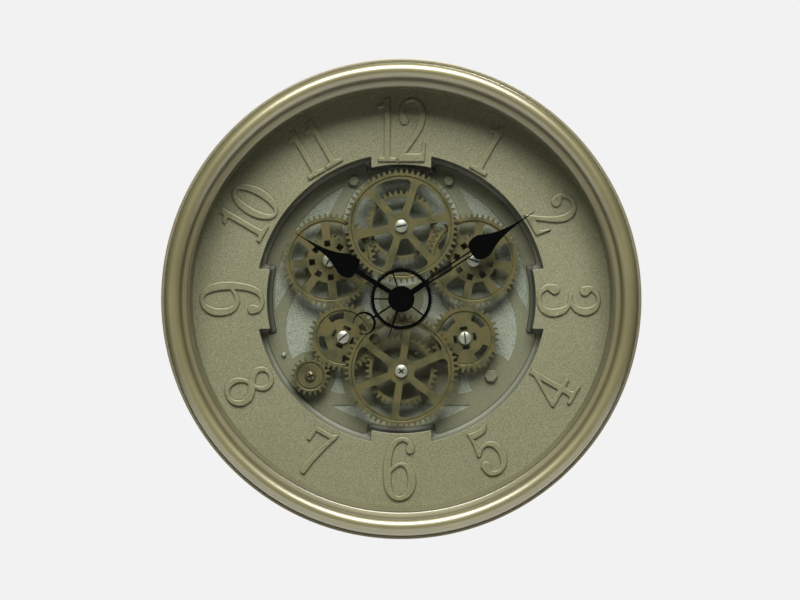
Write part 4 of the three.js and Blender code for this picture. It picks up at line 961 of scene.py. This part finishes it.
def gearTree():
    # toothed rim with a sloping inner edge, a groove, a web with windows and slots, and a sleeve behind
    tree = Tree("cut gear", "Teeth, Windows, Slots",
                "Tip Radius, Root Radius, Tip Width, Root Width, First Tooth, Rim, Slope, Groove, Groove Depth, "
                "Thickness, Recess, Window Inner, Window Outer, Half Spoke, Radial Ends, Window Corner, First Window, "
                "Slot Radius, Slot Across, Slot Along, First Slot, Bore, Sleeve, Sleeve Length")
    edge, thickness, slope, bore = tree["Rim"], tree["Thickness"], tree["Slope"], tree.ring(tree["Bore"], 48)
    rim = tree.slab([toothedCurve(tree), tree.ring(edge, 120)], thickness)
    slot = tree.add("GeometryNodeCurvePrimitiveQuadrilateral", {"Width": tree["Slot Across"],
                                                                "Height": tree["Slot Along"]})
    slot = tree.moved(slot, tree.vector(X=tree["Slot Radius"]))
    webEdge, overlap = tree.calc("SUBTRACT", edge, tree["Groove"]), 0.4
    web = tree.slab([tree.ring(webEdge, 120), tree.placed(windowCurve(tree), tree["Windows"], tree["First Window"]),
                     tree.placed(slot, tree["Slots"], tree["First Slot"]), bore],
                    tree.calc("SUBTRACT", thickness, tree["Recess"]))
    groove = tree.slab([tree.ring(tree.calc("ADD", edge, overlap), 120),
                        tree.ring(tree.calc("SUBTRACT", webEdge, overlap), 120)],
                       tree.calc("SUBTRACT", thickness, tree["Groove Depth"]))
    length, inWeb = tree["Sleeve Length"], 0.5
    sleeve = tree.slab([tree.ring(tree["Sleeve"], 64), bore], tree.calc("ADD", length, inWeb),
                       tree.calc("MULTIPLY", length, -1))
    corner = tree.add("GeometryNodeCurvePrimitiveCircle", {"Resolution": 4, "Radius": slope})
    bank = tree.add("GeometryNodeCurveToMesh", {"Curve": tree.ring(edge, 120), "Profile Curve": corner})
    bank = tree.moved(bank, tree.vector(Z=tree.calc("SUBTRACT", thickness, slope)))
    return tree.finish(rim, groove, web, bank, sleeve)


def grown(name, tree, values, bevel, segments=2):
    # the tree's result as a plain mesh, its edges softened
    item = link(name, bpy.data.meshes.new(name))
    modifier = item.modifiers.new("rule", "NODES")
    modifier.node_group = tree.group
    for label, value in values.items():
        modifier[tree.names[label]] = value
    soften(item, bevel, segments, 40)
    return meshFrom(item, name)


cutGear = gearTree()
toothValues = {"module": 1.78, "frontModule": 1.8, "addendum": 0.95, "dedendum": 1.2, "tip": 0.7, "root": 1.8,
               "rootGap": 0.6, "edge": 0.22}
gearDefaults = {"Thickness": 4.0, "Recess": 0.8, "Slope": 0.9, "Groove": 1.6, "Groove Depth": 2.0, "Radial Ends": 0.0,
                "Slots": 0, "Slot Radius": 10.0, "Slot Across": 4.0, "Slot Along": 4.0, "Bore": 3.4, "Sleeve": 7.5,
                "Sleeve Length": 0.0, "Material": bronze}


def gearValues(teeth, module, firstTooth, rule, window, slot=0.0):
    radius = module * teeth / 2
    root = radius - toothValues["dedendum"] * module
    widest = 2 * math.pi * root / teeth - toothValues["rootGap"]
    return {
        **gearDefaults, "Teeth": teeth, "First Tooth": math.radians(firstTooth),
        "Tip Radius": radius + toothValues["addendum"] * module, "Tip Width": toothValues["tip"] * module,
        "Root Radius": root, "Root Width": min(toothValues["root"] * module, widest),
        "First Window": math.radians(window), "First Slot": math.radians(slot), **rule}


def meshed(teeth, tooth, toward, otherTeeth):
    # the tooth angle of a gear that meshes with another standing in that direction
    past = (tooth - toward) * teeth / 360
    return toward + 180 + (0.5 - past) * 360 / otherTeeth


def direction(here, there):
    return math.degrees(math.atan2(there[1] - here[1], there[0] - here[0]))


upperTooth = meshed(38, 90, direction(top, upperLeft), 50)
lowerTooth = meshed(50, upperTooth, direction(upperLeft, lowerLeft), 36)
lowerRightTooth = meshed(50, 180 - upperTooth, direction(upperRight, lowerRight), 36)
bottomTooth = meshed(36, lowerTooth, direction(lowerLeft, bottom), 38)
driveTooth = meshed(36, lowerTooth, direction(lowerLeft, drive), 20)

frontRule = {"Rim": 49.9, "Windows": 6, "Window Inner": 13.0, "Window Outer": 46.0, "Half Spoke": 3.6,
             "Window Corner": 5.0, "Sleeve Length": 6.0}
carrierRule = {"Rim": 30.2, "Slope": 0.3, "Groove": 0.5, "Groove Depth": 1.2, "Recess": 0.4, "Windows": 6,
               "Window Inner": 11.0, "Window Outer": 28.7, "Half Spoke": 2.8, "Window Corner": 2.0, "Bore": 7.8,
               "Sleeve": 9.4}
upperRule = {"Rim": 39.9, "Windows": 8, "Window Inner": 22.0, "Window Outer": 37.3, "Half Spoke": 4.0,
             "Window Corner": 3.6, "Slots": 8, "Slot Radius": 16.7, "Slot Across": 5.9, "Slot Along": 5.9,
             "Sleeve Length": 6.0}
pinionRule = {"Rim": 20.6, "Slope": 0.3, "Groove": 0.4, "Groove Depth": 1.2, "Recess": 0.4, "Windows": 4,
              "Window Inner": 10.5, "Window Outer": 19.5, "Half Spoke": 2.5, "Window Corner": 1.5, "Bore": 7.8,
              "Sleeve": 9.4}
lowerRule = {"Rim": 27.0, "Windows": 4, "Window Inner": 18.0, "Window Outer": 24.5, "Half Spoke": 10.2,
             "Radial Ends": 1.0, "Window Corner": 0.8, "Slots": 4, "Slot Radius": 9.5, "Slot Across": 3.3,
             "Slot Along": 7.4}
driveRule = {"Rim": 14.0, "Windows": 0, "Window Inner": 5.0, "Window Outer": 9.0, "Half Spoke": 1.0,
             "Window Corner": 0.5}
small, large = toothValues["module"], toothValues["frontModule"]
# each gear: its body and place, teeth, module, first tooth, rule, and the turns of its windows and slots
gears = {
    "top_front_gear": ("top_gear_set", top, 60, large, 90.0, frontRule, 42.0, 0.0),
    "top_rear_gear": ("top_gear_set", top, 38, small, 90.0, carrierRule, 42.0, 0.0),
    "bottom_front_gear": ("bottom_gear_set", bottom, 60, large, bottomTooth, frontRule, 51.7, 0.0),
    "bottom_rear_gear": ("bottom_gear_set", bottom, 38, small, bottomTooth, carrierRule, 51.7, 0.0),
    "upper_left_gear": ("upper_left_gear_set", upperLeft, 50, small, upperTooth, upperRule, 29.0, 6.0),
    "upper_left_pinion": ("upper_left_gear_set", upperLeft, 27, small, 29.0, pinionRule, 29.0, 0.0),
    "upper_right_gear": ("upper_right_gear_set", upperRight, 50, small, 180 - upperTooth, upperRule, 12.0, 33.0),
    "upper_right_pinion": ("upper_right_gear_set", upperRight, 27, small, 12.0, pinionRule, 12.0, 0.0),
    "lower_left_gear": ("lower_left_wheel", lowerLeft, 36, small, lowerTooth, lowerRule, 18.0, 65.5),
    "lower_right_gear": ("lower_right_wheel", lowerRight, 36, small, lowerRightTooth, lowerRule, 51.0, 8.0),
    "drive_gear": ("drive_gear_set", drive, 20, small, driveTooth, driveRule, 0.0, 0.0),
}
for name, (body, place, *numbers) in gears.items():
    values = gearValues(*numbers)
    mesh = grown(name + "_cut", cutGear, values, toothValues["edge"])
    finishPiece(turned(mesh, place, riseOf(name)[1] - values["Thickness"]), name + "_cut", body, "gear_olive", bronze,
                [name])
print("gears cut")


# screws, bolts, posts and pins

def screwTree():
    # a domed head with one or two driver slots, on its shank
    tree = Tree("machine screw", "Slots", "Head Radius, Head Height, Dome, Slot Width, Slot Depth, Slot Length, "
                "Slot Turn, Shank Radius, Shank Length")
    height, length, inHead, wellAbove = tree["Head Height"], tree["Shank Length"], 0.3, 30
    drum = tree.slab([tree.ring(tree["Head Radius"], 64)], height)
    ball = tree.add("GeometryNodeMeshUVSphere", {"Segments": 64, "Rings": 48, "Radius": tree["Dome"]})
    ball = tree.moved(ball, tree.vector(Z=tree.calc("SUBTRACT", height, tree["Dome"])))
    head = tree.add("GeometryNodeMeshBoolean", {"Mesh 2": [drum, ball]}, operation="INTERSECT", solver="EXACT")
    size = tree.vector(X=tree["Slot Length"], Y=tree["Slot Width"], Z=tree.calc("MULTIPLY", tree["Slot Depth"], 2))
    bar = tree.add("GeometryNodeMeshCube", {"Size": size})
    # the second slot is lifted clear of heads that have only one
    clear = tree.calc("MULTIPLY", tree.calc("SUBTRACT", 2, tree["Slots"]), wellAbove)
    for quarter, lift in ((0, 0), (math.pi / 2, clear)):
        cutter = tree.moved(bar, tree.vector(Z=tree.calc("ADD", height, lift)),
                            Rotation=tree.vector(Z=tree.calc("ADD", tree["Slot Turn"], quarter)))
        head = tree.add("GeometryNodeMeshBoolean", {"Mesh 1": head, "Mesh 2": cutter}, operation="DIFFERENCE",
                        solver="EXACT")
    shank = tree.slab([tree.ring(tree["Shank Radius"], 24)], tree.calc("ADD", length, inHead),
                      tree.calc("MULTIPLY", length, -1))
    return tree.finish(head, shank)


machineScrew = screwTree()
screwValues = {"Head Radius": 6.1, "Head Height": 2.4, "Dome": 12.0, "Slot Width": 1.5, "Slot Depth": 1.6,
               "Slot Length": 20.0, "Slots": 1, "Shank Radius": 1.3, "Shank Length": 7.0, "Material": steel}
crossed = {"Slots": 2, "Slot Length": 6.6}
driveScrew = {**crossed, "Slot Length": 6.4, "Head Radius": 5.2, "Dome": 6.5, "Head Height": 2.9, "Material": agedBrass}
gearScrews = {  # the way each slot points, and what else is different
    "top_gear_screw": (12.0, {}), "upper_left_screw": (60.0, {}), "upper_right_screw": (-20.0, {}),
    "lower_left_screw": (40.0, {}), "lower_right_screw": (95.0, {}), "bottom_gear_screw": (40.0, crossed),
    "drive_gear_screw": (20.0, driveScrew)}
screwEdge = 0.16
slotShadeValues = {"endGap": 0.8, "half": 0.7, "sunk": 0.15, "thickness": 0.45, "edge": 0.05}
slotShadeSheets = {"case": [], "drive_gear_set": []}
for name, (turn, changes) in gearScrews.items():
    values = {**screwValues, **changes, "Slot Turn": math.radians(turn)}
    body = "drive_gear_set" if name == "drive_gear_screw" else "case"
    slot = "brass" if values["Material"] == agedBrass else "bright_steel"
    place, front = centreOf(name), riseOf(name)[1]
    mesh = turned(grown(name + "_turned", machineScrew, values, screwEdge), place, front - values["Head Height"])
    finishPiece(mesh, name + "_turned", body, slot, values["Material"], [name])
    # painted shade: near-black sheets in the bottom of the driver slots
    length, half = min(values["Slot Length"] / 2, values["Head Radius"] - slotShadeValues["endGap"]), slotShadeValues["half"]
    low = front - values["Slot Depth"] - slotShadeValues["sunk"]
    for quarter in range(values["Slots"]):
        mesh = plate("slot", [[(-length, -half), (length, -half), (length, half), (-length, half)]], low,
                     low + slotShadeValues["thickness"], slotShadeValues["edge"], 1)
        slotShadeSheets[body].append(turned(mesh, place, degrees=turn + 90 * quarter))
# the painted-shade sheets in the slots, one piece for each body
for body, meshes in slotShadeSheets.items():
    finishPiece(joined(body + "_slot_grime", meshes), body + "_slot_grime", body, "black", painted_slot_shade)

boltValues = {"chamfer": 1.15, "edge": 0.9, "gap": 0.2, "shank": 2.5, "inHead": 0.5,
              "radius": {"upper_left_hex_bolt": 5.6, "upper_right_hex_bolt": 5.6, "lower_right_hex_bolt": 6.7}}
for name, radius in boltValues["radius"].items():
    back, (low, front) = plateFront + boltValues["gap"], riseOf(name)
    head = lathe("head", [(0, back), (radius, back), (radius, front - boltValues["edge"]),
                          (radius - boltValues["chamfer"], front), (0, front)], 6)
    shank, end = boltValues["shank"], back + boltValues["inHead"]
    stem = lathe("stem", [(0, low), (shank, low), (shank, end), (0, end)], 32)
    bolt = turned(joined(name + "_turned", [head, stem]), centreOf(name))
    finishPiece(bolt, name + "_turned", "case", "olive", platePaint, [name])


dressValues = {"weld": 0.00001, "angle": 38.0, "segments": 2}


def dress(names, material, bevel=0.0):
    # CAD pieces that keep their shape: joined faces, softened edges and their finish
    for name in names.split():
        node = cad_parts[name]
        for slot in node.material_slots:
            slot.material = material
        if bevel:
            node.modifiers.new("weld", "WELD").merge_threshold = dressValues["weld"]
            soften(node, bevel * millimetre, dressValues["segments"], dressValues["angle"])


dress("top_gear_post bottom_gear_post upper_left_post upper_right_post lower_left_post lower_right_post bushing_nut",
      brass, 0.2)
dress("drive_shaft plate_pin cover_screw_1 cover_screw_2 cover_screw_3", steel, 0.15)
dress("hour_pipe minute_pipe", brass)
dress("base_plate", sparklePaint)
dress("back_cover", darkPlastic, 0.3)
dress("clock_movement drive_housing", darkPlastic, 0.25)
dress("clock_battery_hatch drive_battery_hatch setting_knob drive_switch", hatchPlastic, 0.25)
dress("seconds_arbor", black, 0.3)
dress("clock_cell drive_cell_upper drive_cell_lower", cellSkin, 0.4)


def pegs(name, body, material, slot, places, radius, back, front):
    # small pegs with rounded ends that take up most of a short peg
    rise = min(radius, (front - back) * 0.8)
    crown = [(x, front - rise + y * rise / radius) for x, y in arc(radius, 0, 75, 5)]
    profile = [(0, back), (radius, back), *crown, (0, front)]
    meshes = [turned(lathe(name, profile, 32), place) for place in places]
    finishPiece(joined(name, meshes), name, body, slot, material)


# rivet heads on the spokes of the two large gears, and the pegs seen on the plate between the gears
rivetValues = {"radius": 1.1, "distance": 31.3, "foot": 1.2, "crown": 0.2,  # below the gear's front
               "angles": {"top": (12.0, 132.0), "bottom": (141.7, 261.7)}}
for name, place in (("top", top), ("bottom", bottom)):
    face = riseOf(name + "_front_gear")[1]
    pegs(name + "_rivets", name + "_gear_set", bronze, "gear_olive",
         [polar(rivetValues["distance"], angle, *place) for angle in rivetValues["angles"][name]],
         rivetValues["radius"], face - rivetValues["foot"], face - rivetValues["crown"])
pegValues = {"places": [(14.5, -53.9), (33.1, -48.5), (-15.1, -52.1)], "radius": 2.2, "front": 30.0, "sunk": 0.5}
pegs("plate_pegs", "case", brass, "brass", pegValues["places"], pegValues["radius"], plateFront - pegValues["sunk"],
     pegValues["front"])
pinValues = {"places": [(-65.4, 63.1), (67.6, 64.3), (-45.2, -78.1)], "radius": 1.2, "front": 27.6, "sunk": 0.5}
pegs("pale_pins", "case", platePaint, "olive", pinValues["places"], pinValues["radius"],
     riseOf("base_plate")[1] - pinValues["sunk"], pinValues["front"])
print("screws and fittings ready")


# hands and seconds wheel

handValues = {"grid": 0.3, "bevel": 0.18, "steps": 60, "waistHalf": 0.5, "tipHalf": 0.4}


def leafShape(values):
    # a leaf-shaped blade: neck, round bulb and a long fine tip
    neck, bulb, wide, length, half = (values[key] for key in ("neck", "bulb", "wide", "length", "half"))
    steps, upper = handValues["steps"], [(0.0, half)]
    for t in (i / steps for i in range(steps + 1)):
        upper.append(((1 - t) ** 2 * neck + 2 * t * (1 - t) * neck + t * t * bulb,
                      (1 - t) ** 2 * half + 2 * t * (1 - t) * wide + t * t * wide))
    for t in (i / steps for i in range(1, steps + 1)):
        a, b, c, d = (1 - t) ** 3, 3 * t * (1 - t) ** 2, 3 * t * t * (1 - t), t ** 3
        upper.append((a * bulb + b * (bulb + values["shoulder"]) + c * (bulb + values["waist"]) + d * length,
                      a * wide + b * wide + c * handValues["waistHalf"] + d * handValues["tipHalf"]))
    return patch(upper + [(x, -y) for x, y in reversed(upper)])


def minuteShape(values):
    # slotted bar before the leaf, and a crescent on the tail
    blade = without(leafShape(values), barAlong(values["slotFrom"], values["neck"], values["slotHalf"]))
    middle, overlap = values["crescent"], 0.3
    tail = barAlong(middle + values["inner"] - overlap, 0, values["tail"])
    gap = patch([(middle, 0)] + [polar(values["gapReach"], angle, middle) for angle in values["gap"]])
    crescent = without(discAt(middle, 0, values["outer"]), discAt(middle - values["offset"], 0, values["inner"]), gap)
    return together(blade, tail, crescent)


def hand(name, node, body, shape, values):
    outline = without(together(shape, discAt(0, 0, values["hub"])), discAt(0, 0, values["bore"]))
    loops = outlinesOf(outline, values["from"], values["to"], handValues["grid"])
    blade = plate(name, loops, *riseOf(node), handValues["bevel"], 1)
    finishPiece(turned(blade, degrees=values["angle"]), name, body, "black", black, [node])


hourValues = {"half": 2.4, "neck": 51.2, "bulb": 61.3, "wide": 11.65, "length": 122.0, "shoulder": 10.7, "waist": 7.8,
              "hub": 10.0, "bore": 3.7, "angle": 148.0, "from": (-11, -13), "to": (123, 13)}
hand("hour_blade", "hour_hand", "hour_hand_set", leafShape(hourValues), hourValues)
minuteValues = {"half": 2.7, "neck": 81.5, "bulb": 92.7, "wide": 11.6, "length": 155.0, "shoulder": 10.7, "waist": 7.8,
                "slotFrom": 32.0, "slotHalf": 1.2, "tail": 0.9, "crescent": -42.8, "outer": 11.3, "inner": 9.7,
                "offset": 1.1, "gap": (150, 180, 210), "gapReach": 20.0, "hub": 9.0, "bore": 2.4, "angle": 33.2,
                "from": (-56, -13), "to": (156, 13)}
hand("minute_blade", "minute_hand", "minute_hand_set", minuteShape(minuteValues), minuteValues)

low, high = riseOf("seconds_wheel")
wheelValues = {"teeth": 80, "spokes": 5, "spokeAngle": 35.7, "edge": 0.08, "pointerSpoke": 3,
               "pointer": {"from": 4.0, "to": 39.3, "half": 1.8, "tip": 0.4, "back": 0.1, "bevel": 0.1}}
wheelRule = {"Tip Radius": 31.0, "Root Radius": 29.2, "Tip Width": 0.5, "Root Width": 1.7, "Rim": 27.9, "Slope": 0.1,
             "Groove": 0.3, "Groove Depth": 0.3, "Recess": 0.15, "Thickness": high - low,
             "Windows": wheelValues["spokes"], "Window Inner": 12.8, "Window Outer": 26.3, "Half Spoke": 0.7,
             "Window Corner": 0.4, "Bore": 1.3, "Sleeve": 3.0, "Material": black}
apart, needle = 360 / wheelValues["spokes"], wheelValues["pointer"]
wheel = grown("seconds_disc", cutGear, gearValues(wheelValues["teeth"], toothValues["module"], 0.0, wheelRule,
                                                  wheelValues["spokeAngle"] + apart / 2), wheelValues["edge"], 1)
pointer = plate("pointer", [[(needle["from"], -needle["half"]), (needle["to"], -needle["tip"]),
                             (needle["to"], needle["tip"]), (needle["from"], needle["half"])]],
                needle["back"], high - low, needle["bevel"], 1)
pointer = turned(pointer, degrees=wheelValues["spokeAngle"] + apart * wheelValues["pointerSpoke"])
# the cap over the spokes' ends, as radius and rise
capProfile = [(0, 0.9), (12.2, 0.9), (12.6, 1.0), (12.6, 1.35), (12.2, 1.5), (0, 1.5)]
wheel = turned(joined("seconds_disc", [wheel, pointer, lathe("cap", capProfile, 96)]), rise=low)
finishPiece(wheel, "seconds_disc", "seconds_wheel_set", "black", black, ["seconds_wheel"])
print("hands ready")
